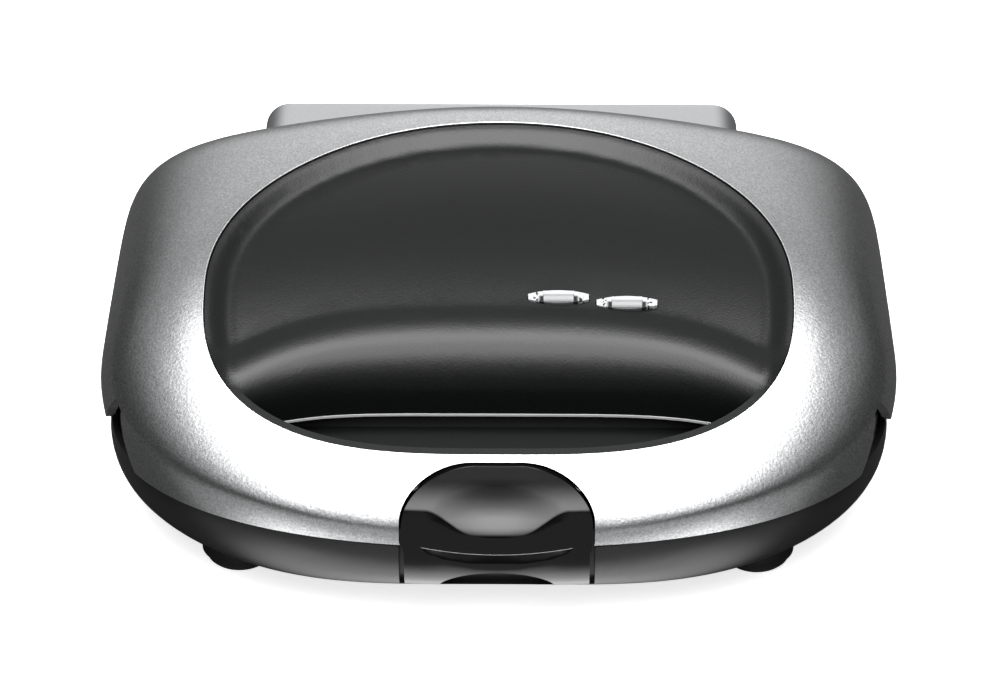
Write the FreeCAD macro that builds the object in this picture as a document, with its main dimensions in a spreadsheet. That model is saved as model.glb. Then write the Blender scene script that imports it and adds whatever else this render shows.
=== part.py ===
import FreeCAD, Part
import math
import os
import Sketcher

# Countertop sandwich toaster with a hinged lid, closed and latched.
# Origin on the table under the middle of the appliance, +X to its right, -Y to its front, +Z up.
# All sizes are in millimetres and degrees.

Vector = FreeCAD.Vector
document = FreeCAD.newDocument("SandwichToaster")
sheet = document.addObject("Spreadsheet::Sheet", "Sizes")
parts = []


class Size:
    """A length that knows its value and the sheet expression that gives it."""

    def __init__(self, number, text):
        self.number = number
        self.text = text

    def join(self, sign, other, number):
        return Size(number, "(%s %s %s)" % (self.text, sign, text_of(other)))

    def __float__(self):
        return float(self.number)

    def __add__(self, other):
        return self.join("+", other, self.number + float(other))

    def __sub__(self, other):
        return self.join("-", other, self.number - float(other))

    def __mul__(self, other):
        return self.join("*", other, self.number * float(other))

    def __truediv__(self, other):
        return self.join("/", other, self.number / float(other))

    def __radd__(self, other):
        return Size(float(other), text_of(other)) + self

    def __rsub__(self, other):
        return Size(float(other), text_of(other)) - self

    def __rmul__(self, other):
        return Size(float(other), text_of(other)) * self

    def __neg__(self):
        return self * -1


class SheetReader:
    """Gives each named cell of the sheet as a Size."""

    def __getattr__(self, name):
        return Size(float(sheet.get(name)), "Sizes." + name)


mm = SheetReader()
sheet_rows = []


def text_of(item):
    return item.text if isinstance(item, Size) else "(%r)" % float(item)


def add_sizes(title, sizes):
    """Write one titled group of driving dimensions into the sheet."""
    sheet_rows.append(title)
    sheet.set("A%d" % len(sheet_rows), title)
    for name, number in sizes.items():
        sheet_rows.append(name)
        sheet.set("A%d" % len(sheet_rows), name)
        sheet.set("B%d" % len(sheet_rows), str(number))
        sheet.setAlias("B%d" % len(sheet_rows), name)
    sheet.recompute()


def bind(item, **bindings):
    """Tie properties of an object to sizes in the sheet."""
    for name, amount in bindings.items():
        item.setExpression(name, text_of(amount))


def place(item, x=0, y=0, z=0):
    """Tie the place of an object to sizes in the sheet."""
    for axis, amount in zip("xyz", (x, y, z)):
        item.setExpression("Placement.Base." + axis, text_of(amount))
    return item


def finish_part(item, label):
    """Keep one finished sub-part under its own name."""
    item.Label = label
    parts.append(item)
    return item


# Solid building blocks, each tied to the sheet.

TURNS = {
    "x": FreeCAD.Rotation(Vector(0, 1, 0), 90),
    "y": FreeCAD.Rotation(Vector(1, 0, 0), -90),
    "z": FreeCAD.Rotation(),
}


def box(name, x, y, z):
    """A block between two values along each axis."""
    block = document.addObject("Part::Box", name)
    bind(block, Length=x[1] - x[0], Width=y[1] - y[0], Height=z[1] - z[0])
    return place(block, x[0], y[0], z[0])


def rod(name, radius, start, length, axis):
    """A cylinder from a start point along x, y or z."""
    item = document.addObject("Part::Cylinder", name)
    item.Placement = FreeCAD.Placement(Vector(), TURNS[axis])
    bind(item, Radius=radius, Height=length)
    return place(item, *start)


def ellipsoid(name, centre, half_x, half_y, half_z):
    """An ellipsoid from its centre and half sizes along x, y and z."""
    item = document.addObject("Part::Ellipsoid", name)
    bind(item, Radius1=half_z, Radius2=half_x, Radius3=half_y)
    return place(item, *centre)


def shaped(name, shape):
    """An object that holds a shape worked out from the sheet's values."""
    item = document.addObject("Part::Feature", name)
    item.Shape = shape
    return item


def fuse(name, *pieces):
    item = document.addObject("Part::MultiFuse", name)
    item.Shapes = list(pieces)
    return item


def common(name, *pieces):
    item = document.addObject("Part::MultiCommon", name)
    item.Shapes = list(pieces)
    return item


def cut(name, base, *tools):
    item = document.addObject("Part::Cut", name)
    item.Base = base
    item.Tool = tools[0] if len(tools) == 1 else fuse(name + "Cuts", *tools)
    return item


def group(name, *pieces):
    """Separate solids that share one node."""
    item = document.addObject("Part::Compound", name)
    item.Links = list(pieces)
    return item


def mirrored_x(name, source):
    """The other hand of a piece, mirrored across the middle of the appliance."""
    item = document.addObject("Part::Mirroring", name)
    item.Source = source
    item.Normal = Vector(1, 0, 0)
    return item


def mirrored_z(name, source, level):
    """A piece mirrored across a level plane."""
    item = document.addObject("Part::Mirroring", name)
    item.Source = source
    item.Normal = Vector(0, 0, 1)
    item.setExpression("Base.z", text_of(level))
    return item


# Sketched bodies.

def new_sketch(body, name, role, lift=0):
    """A sketch on one of the body's own origin planes, lifted along the plane's normal."""
    plane = [item for item in body.Origin.OriginFeatures if item.Role == role][0]
    sketch = body.newObject("Sketcher::SketchObject", name)
    sketch.AttachmentSupport = [(plane, "")]
    sketch.MapMode = "FlatFace"
    sketch.setExpression("AttachmentOffset.Base.z", text_of(lift))
    return sketch


def tie_sketch(sketch, kind, where, amount):
    """Add one constraint whose value follows the sheet."""
    place_in_list = sketch.addConstraint(Sketcher.Constraint(kind, *where, float(amount)))
    sketch.setExpression("Constraints[%d]" % place_in_list, text_of(amount))


def draw_rectangle(sketch, x, y, radius=None):
    """A rectangle, with round corners where a radius is given."""
    left, right, low, high = float(x[0]), float(x[1]), float(y[0]), float(y[1])
    round_by = float(radius) if radius is not None else 0
    starts = [(left + round_by, low), (right, low + round_by),
              (right - round_by, high), (left, high - round_by)]
    ends = [(right - round_by, low), (right, high - round_by),
            (left + round_by, high), (left, low + round_by)]
    lines = [sketch.addGeometry(Part.LineSegment(Vector(*start, 0), Vector(*end, 0)))
             for start, end in zip(starts, ends)]
    for line, kind in zip(lines, ("Horizontal", "Vertical") * 2):
        sketch.addConstraint(Sketcher.Constraint(kind, line))
    if radius is None:
        for line, following in zip(lines, lines[1:] + lines[:1]):
            sketch.addConstraint(Sketcher.Constraint("Coincident", line, 2, following, 1))
    else:
        centres = [(right - round_by, low + round_by), (right - round_by, high - round_by),
                   (left + round_by, high - round_by), (left + round_by, low + round_by)]
        arcs = []
        for number, centre in enumerate(centres):
            circle = Part.Circle(Vector(*centre, 0), Vector(0, 0, 1), round_by)
            start_angle = (number - 1) * math.pi / 2
            arcs.append(sketch.addGeometry(
                Part.ArcOfCircle(circle, start_angle, start_angle + math.pi / 2)))
        for line, arc, following in zip(lines, arcs, lines[1:] + lines[:1]):
            sketch.addConstraint(Sketcher.Constraint("Tangent", line, 2, arc, 1))
            sketch.addConstraint(Sketcher.Constraint("Tangent", arc, 2, following, 1))
        for arc in arcs[1:]:
            sketch.addConstraint(Sketcher.Constraint("Equal", arcs[0], arc))
        tie_sketch(sketch, "Radius", (arcs[0],), radius)
    tie_sketch(sketch, "DistanceY", (-1, 1, lines[0], 1), y[0])
    tie_sketch(sketch, "DistanceX", (-1, 1, lines[1], 1), x[1])
    tie_sketch(sketch, "DistanceY", (-1, 1, lines[2], 1), y[1])
    tie_sketch(sketch, "DistanceX", (-1, 1, lines[3], 1), x[0])


def draw_outline(sketch, edges):
    """Draw edges that were worked out from the sheet's values."""
    for edge in edges:
        sketch.addGeometry(edge)


def polygon(points):
    """Straight edges round a list of points in a sketch's plane."""
    corners = [Vector(float(x), float(y), 0) for x, y in points]
    return [Part.LineSegment(start, end) for start, end in zip(corners, corners[1:] + corners[:1])]


def add_feature(body, kind, name, sketch, **bindings):
    """Add a sketch-based feature and tie its sizes."""
    feature = body.newObject("PartDesign::" + kind, name)
    feature.Profile = sketch
    sketch.Visibility = False
    bind(feature, **bindings)
    return feature


def slab(name, x, y, z, radius=None):
    """A flat body with a rectangular outline between two heights."""
    body = document.addObject("PartDesign::Body", name)
    sketch = new_sketch(body, name + "Outline", "XY_Plane", z[0])
    draw_rectangle(sketch, x, y, radius)
    add_feature(body, "Pad", name + "Pad", sketch, Length=z[1] - z[0])
    return body


def turned(name, profile, x=0, y=0, z=0):
    """A body of revolution about a vertical axis, from (radius, height) corners."""
    body = document.addObject("PartDesign::Body", name)
    sketch = new_sketch(body, name + "Profile", "XZ_Plane")
    draw_outline(sketch, polygon(profile))
    revolution = add_feature(body, "Revolution", name + "Turned", sketch)
    revolution.ReferenceAxis = (sketch, ["V_Axis"])
    revolution.Angle = 360
    return place(body, x, y, z)


# Smooth moulded forms, from closed rings or grids of control points.

FORM_COUNTS = {
    "ring_point_count": 144,
    "grid_column_count": 57,
    "grid_row_count": 26,
    "roll_row_count": 14,
}
add_sizes("Moulded form", FORM_COUNTS)


def clamped_knots(pole_count):
    """Knots and multiplicities of a cubic that ends on its first and last control points."""
    knots = list(range(pole_count - 2))
    return knots, [4] + [1] * (len(knots) - 2) + [4]


def solid_from(faces):
    shell = Part.Shell(faces)
    shell.sewShape()
    solid = Part.Solid(shell)
    if solid.Volume < 0:
        solid.reverse()
    return solid


def ringed_solid(rings):
    """A solid through closed rings of control points. The first and last rings are level."""
    ring_size = len(rings[0])
    poles = [[ring[number] for ring in rings] for number in range(ring_size)]
    knots, multiplicities = clamped_knots(len(rings))
    surface = Part.BSplineSurface()
    surface.buildFromPolesMultsKnots(poles, [1] * (ring_size + 1), multiplicities,
                                     list(range(ring_size + 1)), knots, True, False, 3, 3)
    wall = surface.toShape()
    rims = [edge for edge in wall.Edges if edge.isClosed()]
    return solid_from([wall] + [Part.Face(Part.Wire([rim])) for rim in rims])


def grid_face(grid):
    rows, row_multiplicities = clamped_knots(len(grid))
    columns, column_multiplicities = clamped_knots(len(grid[0]))
    surface = Part.BSplineSurface()
    surface.buildFromPolesMultsKnots(grid, row_multiplicities, column_multiplicities,
                                     rows, columns, False, False, 3, 3)
    return surface


def sheet_solid(upper, lower):
    """A sheet between two grids of control points of the same size."""
    faces = [grid_face(upper).toShape(), grid_face(lower).toShape()]
    borders = [lambda grid: grid[0], lambda grid: grid[-1],
               lambda grid: [row[0] for row in grid], lambda grid: [row[-1] for row in grid]]
    for border in borders:
        edges = []
        for grid in (upper, lower):
            poles = border(grid)
            knots, multiplicities = clamped_knots(len(poles))
            curve = Part.BSplineCurve()
            curve.buildFromPolesMultsKnots(poles, multiplicities, knots, False, 3)
            edges.append(curve.toShape())
        faces.append(Part.makeRuledSurface(*edges))
    return solid_from(faces)


def smooth_step(amount):
    """Ease from 0 to 1 as the amount goes from 0 to 1."""
    share = min(max(amount, 0.0), 1.0)
    return share * share * (3 - 2 * share)


def bezier(controls, step):
    """A cubic curve's value between its first and last of four controls."""
    rest = 1 - step
    weights = (rest ** 3, 3 * step * rest ** 2, 3 * step ** 2 * rest, step ** 3)
    return sum(weight * control for weight, control in zip(weights, controls))


def superellipse_reach(angle, half_width, front, rear, front_power, rear_power):
    """Distance from an outline's centre to its edge at an angle counted from +X."""
    along, across = abs(math.cos(angle)), abs(math.sin(angle))
    reach, power = (front, front_power) if math.sin(angle) < 0 else (rear, rear_power)
    total = (along / half_width) ** power + (across / reach) ** power
    return total ** (-1 / power)


def ring_angles(start=math.pi / 2):
    """Evenly spaced angles round an outline, from the middle of the rear unless told otherwise."""
    count = int(float(mm.ring_point_count))
    return [start + 2 * math.pi * number / count for number in range(count)]


# Outlines and crown that the lid and the base share.

OUTLINE_SIZES = {
    "outline_centre_y": -25,
    "lid_width": 242,
    "lid_depth": 185.4,
    "lid_front_reach": 78.4,
    "lid_front_power_share": 2.42,
    "lid_rear_power_share": 9.5,
    "lid_wall": 2.4,
    "base_rim_height": 31.2,
    "parting_gap": 0.8,
    "edge_tuck": 2.0,
    "cut_overrun": 6,
}
add_sizes("Lid and base outline", OUTLINE_SIZES)
lid_half_width = mm.lid_width / 2
lid_rear_reach = mm.lid_depth - mm.lid_front_reach
lid_rear_y = mm.outline_centre_y + lid_rear_reach
CROWN_SIZES = {
    "lid_height": 89,
    "crest_depth": 16,
    "crown_side_reach": 110,
    "crown_rear_side_drop": 12.3,
    "crown_front_side_drop": 6.5,
    "crown_front_reach": 92,
    "crown_front_drop": 10,
    "crown_front_power_share": 2.54,
    "crown_blend_length": 145,
    "widest_front_height": 34,
    "widest_side_height": 47,
    "widest_rear_height": 52,
    "shoulder_side_share": 0.58,
    "shoulder_rear_share": 0.50,
    "brow_side_share": 0.62,
    "brow_rear_share": 0.80,
    "front_blend_power_share": 2,
    "rear_blend_power_share": 0.7,
    "rear_height_power_share": 2,
}
add_sizes("Lid crown", CROWN_SIZES)
crest_y = lid_rear_y - mm.crest_depth
RIM_SIZES = {
    "rim_side_border": 32.3,
    "rim_front_reach": 61.2,
    "rim_rear_border": 32.5,
    "rim_front_power_share": 2.9,
    "rim_rear_power_share": 2.08,
    "rim_gap": 0.4,
}
add_sizes("Inset rim of the lid", RIM_SIZES)
rim_half_width = lid_half_width - mm.rim_side_border
rim_rear_reach = lid_rear_reach - mm.rim_rear_border

lid_edge_height = mm.base_rim_height + mm.parting_gap


def crown_height(x, y):
    """Height of the crowned surface that the lid and its inset panel follow."""
    crest = float(crest_y)
    behind = (crest - y) / float(mm.crown_front_reach)
    blend = smooth_step(1 - (crest - y) / float(mm.crown_blend_length))
    front_side_drop = float(mm.crown_front_side_drop)
    side_drop = front_side_drop + (float(mm.crown_rear_side_drop) - front_side_drop) * blend
    across = (x / float(mm.crown_side_reach)) ** 2
    ahead = max(behind, 0.0) ** float(mm.crown_front_power_share)
    return float(mm.lid_height) - side_drop * across - float(mm.crown_front_drop) * ahead


def lid_reach(angle, inset):
    return superellipse_reach(angle, float(lid_half_width) - inset, float(mm.lid_front_reach) - inset,
                              float(lid_rear_reach) - inset, float(mm.lid_front_power_share),
                              float(mm.lid_rear_power_share))


def rim_reach(angle, inset):
    return superellipse_reach(angle, float(rim_half_width) - inset, float(mm.rim_front_reach) - inset,
                              float(rim_rear_reach) - inset, float(mm.rim_front_power_share),
                              float(mm.rim_rear_power_share))


def outline_point(angle, reach, height):
    return Vector(reach * math.cos(angle), float(mm.outline_centre_y) + reach * math.sin(angle), height)


def frontness(angle):
    return max(-math.sin(angle), 0.0) ** float(mm.front_blend_power_share)


def rearness(angle):
    return max(math.sin(angle), 0.0) ** float(mm.rear_blend_power_share)


def mixed(side, rear, share):
    return float(side) + (float(rear) - float(side)) * share


def widest_height(angle):
    """Height at which the lid is widest: low at the front, high at the sides and rear."""
    side = mixed(mm.widest_side_height, mm.widest_front_height, frontness(angle))
    rear = max(math.sin(angle), 0.0) ** float(mm.rear_height_power_share)
    return mixed(side, mm.widest_rear_height, rear)


def dome_ring(angles, step_share, inset):
    """One ring of the dome. Step 0 is the inset rim and step 1 the widest line."""
    ring = []
    for angle in angles:
        outer, inner = lid_reach(angle, inset), rim_reach(angle, 0)
        low = widest_height(angle)
        shoulder = mixed(mm.shoulder_side_share, mm.shoulder_rear_share, rearness(angle))
        brow = mixed(mm.brow_side_share, mm.brow_rear_share, rearness(angle))
        middle = inner + shoulder * (outer - inner)
        reaches = (inner, middle, outer, outer)
        points = [outline_point(angle, reach, 0) for reach in reaches[:3]]
        heights = [crown_height(point.x, point.y) - inset for point in points]
        heights = [heights[0], heights[1], low + brow * (heights[2] - low), low]
        ring.append(outline_point(angle, bezier(reaches, step_share), bezier(heights, step_share)))
    return ring


DOME_STEP_SHARES = (1.0, 0.86, 0.72, 0.58, 0.44, 0.3, 0.15, 0.0)
CROWN_RING_SHARES = (0.85, 0.65)
CLOSING_RING_SHARE = 0.45
SKIRT_SHARES = (0.0, 0.35, 0.7)


def dome_solid(inset, bottom):
    """The lid's outer form, drawn in by an inset. Its top closes inside the panel opening."""
    angles = ring_angles()
    rings = []
    for share in SKIRT_SHARES:
        ring = []
        for angle in angles:
            high = widest_height(angle)
            tuck = float(mm.edge_tuck) * (1 - share) ** 2 * (1 - frontness(angle))
            height = bottom + (high - bottom) * share
            ring.append(outline_point(angle, lid_reach(angle, inset) - tuck, height))
        rings.append(ring)
    rings += [dome_ring(angles, share, inset) for share in DOME_STEP_SHARES]
    for share in CROWN_RING_SHARES:
        flat = [outline_point(angle, share * rim_reach(angle, 0), 0) for angle in angles]
        rings.append([Vector(p.x, p.y, crown_height(p.x, p.y) - inset) for p in flat])
    closing_height = crown_height(0, float(mm.outline_centre_y)) - inset
    rings.append([outline_point(angle, CLOSING_RING_SHARE * rim_reach(angle, 0), closing_height)
                  for angle in angles])
    return ringed_solid(rings)


def outline_prism(reach, inset, bottom, top):
    """A prism over a smooth closed outline, between two heights."""
    poles = [outline_point(angle, reach(angle, inset), bottom) for angle in ring_angles(math.pi)]
    curve = Part.BSplineCurve()
    curve.buildFromPolesMultsKnots(poles, [1] * (len(poles) + 1), list(range(len(poles) + 1)), True, 3)
    return Part.Face(Part.Wire([curve.toShape()])).extrude(Vector(0, 0, top - bottom))


# The lid's moulded shell.

LID_SHELL_SIZES = {
    "opening_bottom": 46,
    "opening_top": 96,
    "notch_corner_count": 9,
    "notch_depth_x": 30,
    "lid_boss_border": 9.8,
    "lid_boss_front_y": -10,
    "lid_boss_rear_depth": 37,
    "lid_boss_radius": 4,
    "lid_boss_bottom": 38.3,
    "lead_hole_radius": 4,
    "cover_screw_x": 50,
    "cover_screw_z": 52,
    "screw_radius": 1.5,
    "screw_head_radius": 3,
    "screw_head_height": 1.8,
    "fit_gap": 0.05,
    "clearance": 0.3,
}
add_sizes("Lid shell", LID_SHELL_SIZES)
lid_boss_x = lid_half_width - mm.lid_boss_border
lid_boss_rear_y = lid_rear_y - mm.lid_boss_rear_depth
NOTCH_SIZES = {
    "notch_y_0": -65, "notch_z_0": 32,
    "notch_y_1": -64.2, "notch_z_1": 40,
    "notch_y_2": -63, "notch_z_2": 46,
    "notch_y_3": -60, "notch_z_3": 50.5,
    "notch_y_4": -55.5, "notch_z_4": 52,
    "notch_y_5": -53, "notch_z_5": 47,
    "notch_y_6": -50.5, "notch_z_6": 43.5,
    "notch_y_7": -42, "notch_z_7": 37,
    "notch_y_8": -31, "notch_z_8": 32,
}
add_sizes("Side notch, from its front corner over its crest to its rear", NOTCH_SIZES)
LATCH_SIZES = {
    "latch_half_width": 27.8,
    "latch_bottom": 16.2,
    "latch_top": 51,
    "latch_corner_height": 12.5,
    "latch_corner_width": 21.5,
    "latch_tuck": 0.8,
    "latch_tuck_top": 33,
    "latch_tuck_bottom": 30,
    "latch_proud": 0.6,
    "latch_thickness": 3.2,
    "latch_top_thickness": 2.2,
    "latch_thinning_start": 44,
    "latch_thinning_end": 50,
    "latch_window_gap": 0.65,
    "latch_front_radius": 435,
    "latch_pivot_y": -92,
    "latch_pivot_z": 44.5,
    "latch_pin_radius": 1.0,
    "latch_pin_half_length": 25,
    "knuckle_radius": 2.2,
    "knuckle_inner_x": 14,
    "knuckle_outer_x": 20,
    "lug_inner_x": 21,
    "lug_outer_x": 24,
    "lug_radius": 2.0,
    "dimple_half_width": 19,
    "dimple_half_height": 6.6,
    "dimple_centre_z": 41.6,
    "dimple_depth": 1.7,
    "dimple_power_share": 1.5,
    "lip_half_width": 22.3,
    "lip_height": 30,
    "lip_end_height": 32,
    "lip_edge_step": 0.08,
    "scoop_bottom": 25.4,
    "scoop_depth": 1.8,
    "scoop_power_share": 0.5,
    "scallop_half_width": 16.7,
    "scallop_height": 7.3,
    "scallop_run": 60,
    "hook_half_width": 7,
    "hook_root_depth": 2.4,
    "hook_bottom": 24.2,
    "hook_top": 27.2,
    "hook_reach_y": -98.5,
    "catch_reach_y": -98.2,
    "catch_bottom": 28.2,
    "catch_top": 30.2,
    "catch_half_width": 8,
    "recess_half_width": 28.6,
    "recess_y": -95.2,
    "recess_bottom": 15,
    "recess_wall": 2.2,
}
add_sizes("Latch", LATCH_SIZES)


def tie_polygon(sketch, points):
    """A closed polygon whose corners all follow the sheet."""
    lines = [sketch.addGeometry(line) for line in polygon(points)]
    for line, following in zip(lines, lines[1:] + lines[:1]):
        sketch.addConstraint(Sketcher.Constraint("Coincident", line, 2, following, 1))
    for line, (x, y) in zip(lines, points):
        tie_sketch(sketch, "DistanceX", (-1, 1, line, 1), x)
        tie_sketch(sketch, "DistanceY", (-1, 1, line, 1), y)


def prism(name, role, points, start, end):
    """A body padded from a polygon on an origin plane, between two values along the axis."""
    body = document.addObject("PartDesign::Body", name)
    lift = -end if role == "XZ_Plane" else start
    sketch = new_sketch(body, name + "Outline", role, lift)
    tie_polygon(sketch, points)
    add_feature(body, "Pad", name + "Pad", sketch, Length=end - start)
    return body


latch_pivot = (mm.latch_pivot_y, mm.latch_pivot_z)


def latch_window(name, gap):
    """A prism through the lid's front with the latch's outline, widened by a gap."""
    half, top = float(mm.latch_half_width + gap), float(mm.latch_top + gap)
    corner = float(mm.latch_corner_width)
    shoulder = top - float(mm.latch_corner_height)
    arc = Part.Ellipse(Vector(0, 0, 0), corner, float(mm.latch_corner_height))
    points = []
    count = int(float(mm.arc_point_count))
    for number in range(count + 1):
        angle = math.pi / 2 * number / count
        points.append((half - corner + arc.MajorRadius * math.cos(angle),
                       shoulder + arc.MinorRadius * math.sin(angle)))
    low = float(mm.latch_bottom) - (0 if gap is no_gap else float(mm.cut_overrun))
    outer_y = float(mm.recess_y) - float(mm.window_depth)
    right = [Vector(x, outer_y, z) for x, z in points]
    left = [Vector(-p.x, p.y, p.z) for p in reversed(right)]
    curves = []
    for side in (right, left):
        curve = Part.BSplineCurve()
        curve.interpolate(side)
        curves.append(curve.toShape())
    narrow = half - float(mm.latch_tuck)
    sides = [(half, float(mm.latch_tuck_top)), (narrow, float(mm.latch_tuck_bottom)), (narrow, low)]
    down = [left[-1]] + [Vector(-x, outer_y, z) for x, z in sides]
    up = [Vector(x, outer_y, z) for x, z in reversed(sides)] + [right[0]]
    corners = down + up
    edges = [Part.makeLine(start, end) for start, end in zip(corners, corners[1:])]
    edges += [curves[0], Part.makeLine(right[-1], left[0]), curves[1]]
    face = Part.Face(Part.Wire(edges))
    return shaped(name, face.extrude(Vector(0, 2 * float(mm.window_depth), 0)))


WINDOW_SIZES = {
    "arc_point_count": 12,
    "window_depth": 16,
}
add_sizes("Latch window", WINDOW_SIZES)
no_gap = Size(0.0, "0")


def make_lid_shell():
    edge = float(lid_edge_height)
    outer = shaped("LidOuterForm", dome_solid(0, edge))
    inner = shaped("LidInnerForm", dome_solid(float(mm.lid_wall), edge - float(mm.cut_overrun)))
    opening = shaped("LidOpening", outline_prism(rim_reach, 0, float(mm.opening_bottom),
                                                 float(mm.opening_top)))
    low = lid_edge_height - mm.cut_overrun
    corners = [(getattr(mm, "notch_y_%d" % number), getattr(mm, "notch_z_%d" % number))
               for number in range(int(float(mm.notch_corner_count)))]
    notch_points = [(corners[0][0], low)] + corners + [(corners[-1][0], low)]
    notch = prism("SideNotch", "YZ_Plane", notch_points, lid_half_width - mm.notch_depth_x,
                  lid_half_width + mm.cut_overrun)
    posts = []
    holes = []
    for side, x in (("Left", -lid_boss_x), ("Right", lid_boss_x)):
        for end, y in (("Front", mm.lid_boss_front_y), ("Rear", lid_boss_rear_y)):
            name = side + end + "Lid"
            length = mm.lid_height - mm.lid_boss_bottom
            posts.append(rod(name + "Post", mm.lid_boss_radius, (x, y, mm.lid_boss_bottom), length, "z"))
            holes.append(rod(name + "PostHole", mm.screw_radius + mm.fit_gap,
                             (x, y, mm.lid_boss_bottom), mm.lid_screw_depth, "z"))
    bosses = common("LidBosses", fuse("LidPosts", *posts), outer)
    depth = mm.outline_centre_y + lid_rear_reach
    lead_hole = rod("LidLeadHole", mm.lead_hole_radius,
                    (mm.lid_lead_x, depth - mm.cut_overrun, mm.lid_lead_z), 2 * mm.cut_overrun, "y")
    screw_holes = [rod(side + "CoverScrewHole", mm.screw_radius + mm.clearance,
                       (x, depth - mm.cut_overrun, mm.cover_screw_z), 2 * mm.cut_overrun, "y")
                   for side, x in (("Left", -mm.cover_screw_x), ("Right", mm.cover_screw_x))]
    hollow = cut("LidHollow", outer, inner)
    open_top = cut("LidOpenTop", hollow, opening)
    window = latch_window("LatchWindow", mm.latch_window_gap)
    notched = cut("LidNotched", open_top, window, notch, mirrored_x("OtherSideNotch", notch),
                  lead_hole, *screw_holes)
    bossed = fuse("LidBossed", notched, bosses)
    finish_part(cut("LidShell", bossed, *holes), "lid_shell")
    return outer


LID_FITTING_SIZES = {
    "lid_screw_depth": 13,
    "lid_lead_x": 40,
    "lid_lead_z": 47,
}
add_sizes("Leads and screws in the lid", LID_FITTING_SIZES)

lid_outer_form = make_lid_shell()

# The inset panel with the rolled handle edge, in satin black.

PANEL_SIZES = {
    "panel_drop": 5.0,
    "panel_rim_drop": 0.5,
    "cove_width": 8.5,
    "panel_thickness": 2.2,
    "panel_edge_trim": 0.1,
    "panel_margin_x": 3,
    "panel_margin_y": 4,
    "handle_edge_y": -56,
    "handle_edge_z": 47.5,
    "handle_bend": 5.4,
    "handle_bend_x": 64,
    "handle_bend_limit_share": 6,
    "handle_bend_power_share": 5.3,
    "roll_depth": 22,
    "roll_crest_depth": 11,
    "roll_crest_drop": 1.6,
    "roll_brow_depth": 2,
    "roll_brow_height": 20,
}
add_sizes("Lid panel", PANEL_SIZES)


def handle_edge(x):
    """How far forward the handle's lower edge stands at one x."""
    bend = (abs(x) / float(mm.handle_bend_x)) ** float(mm.handle_bend_power_share)
    bend = bend / (1 + bend / float(mm.handle_bend_limit_share))
    return float(mm.handle_edge_y) - float(mm.handle_bend) * bend


def panel_top(x, y):
    """Height of the panel behind the handle: the crown, lowered past a cove along the rim."""
    centre_y = float(mm.outline_centre_y)
    angle = math.atan2(y - centre_y, x)
    distance = rim_reach(angle, 0) - math.hypot(x, y - centre_y)
    rim_drop = float(mm.panel_rim_drop)
    drop = rim_drop + (float(mm.panel_drop) - rim_drop) * smooth_step(distance / float(mm.cove_width))
    return crown_height(x, y) - drop


def panel_column(x):
    """Points down one section of the panel, from its rear edge over the roll to the lower edge."""
    rear = float(mm.outline_centre_y + rim_rear_reach + mm.panel_margin_y)
    edge = handle_edge(x)
    crest = edge + float(mm.roll_depth)
    rows = int(float(mm.grid_row_count))
    points = [Vector(x, rear + (crest - rear) * row / rows, 0) for row in range(rows)]
    points = [Vector(p.x, p.y, panel_top(p.x, p.y)) for p in points]
    top = panel_top(x, crest)
    low = float(mm.handle_edge_z)
    ys = (crest, edge + float(mm.roll_crest_depth), edge + float(mm.roll_brow_depth), edge)
    brow = min(low + float(mm.roll_brow_height), top - float(mm.roll_crest_drop))
    zs = (top, top - float(mm.roll_crest_drop), brow, low)
    rolls = int(float(mm.roll_row_count))
    points += [Vector(x, bezier(ys, row / rolls), bezier(zs, row / rolls)) for row in range(rolls + 1)]
    return points


def panel_grid():
    columns = int(float(mm.grid_column_count))
    half = float(rim_half_width + mm.panel_margin_x)
    return [panel_column(-half + 2 * half * number / (columns - 1)) for number in range(columns)]


def offset_grid(grid, distance):
    """A grid moved along its own normals, upward and outward for positive distances."""
    moved = []
    last_column, last_row = len(grid) - 1, len(grid[0]) - 1
    for i, column in enumerate(grid):
        line = []
        for j, point in enumerate(column):
            along = grid[min(i + 1, last_column)][j] - grid[max(i - 1, 0)][j]
            down = column[min(j + 1, last_row)] - column[max(j - 1, 0)]
            normal = down.cross(along).normalize()
            line.append(point + normal * distance)
        moved.append(line)
    return moved


def lens_body(body_name, half_length, half_width, x, y, depth, lift):
    """A slim prism with bowed long sides and blunt ends, square to the panel at one place."""
    long, wide = float(half_length), float(half_width)
    blunt = wide * float(mm.lens_end_share)
    body = document.addObject("PartDesign::Body", body_name)
    sketch = new_sketch(body, body_name + "Outline", "XY_Plane")
    corners = [Vector(-long, blunt, 0), Vector(long, blunt, 0),
               Vector(long, -blunt, 0), Vector(-long, -blunt, 0)]
    draw_outline(sketch, [Part.Arc(corners[0], Vector(0, wide, 0), corners[1]),
                          Part.LineSegment(corners[1], corners[2]),
                          Part.Arc(corners[2], Vector(0, -wide, 0), corners[3]),
                          Part.LineSegment(corners[3], corners[0])])
    add_feature(body, "Pad", body_name + "Pad", sketch, Length=depth)
    y_value, x_value = float(y), float(x)
    fall = panel_top(x_value, y_value + wide) - panel_top(x_value, y_value - wide)
    turn = FreeCAD.Rotation(Vector(1, 0, 0), math.degrees(math.atan2(fall, 2 * wide)))
    top = Vector(x_value, y_value, panel_top(x_value, y_value))
    base = top + turn.multVec(Vector(0, 0, float(lift) - float(depth)))
    body.Placement = FreeCAD.Placement(base, turn)
    return body


def add_lens_block(body, name):
    """The raised middle of a lens, with a steep front facet and a sloping top facet."""
    half, depth = mm.lens_block_half_width, mm.lens_depth
    ridge = depth + mm.lens_block_height
    points = [(-half, depth - mm.lens_block_root), (-half, depth + mm.lens_block_step),
              (mm.lens_ridge_y, ridge), (half, depth + mm.lens_block_step),
              (half, depth - mm.lens_block_root)]
    sketch = new_sketch(body, name + "BlockOutline", "YZ_Plane", -mm.lens_block_half_length)
    tie_polygon(sketch, points)
    add_feature(body, "Pad", name + "BlockPad", sketch, Length=2 * mm.lens_block_half_length)


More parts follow.
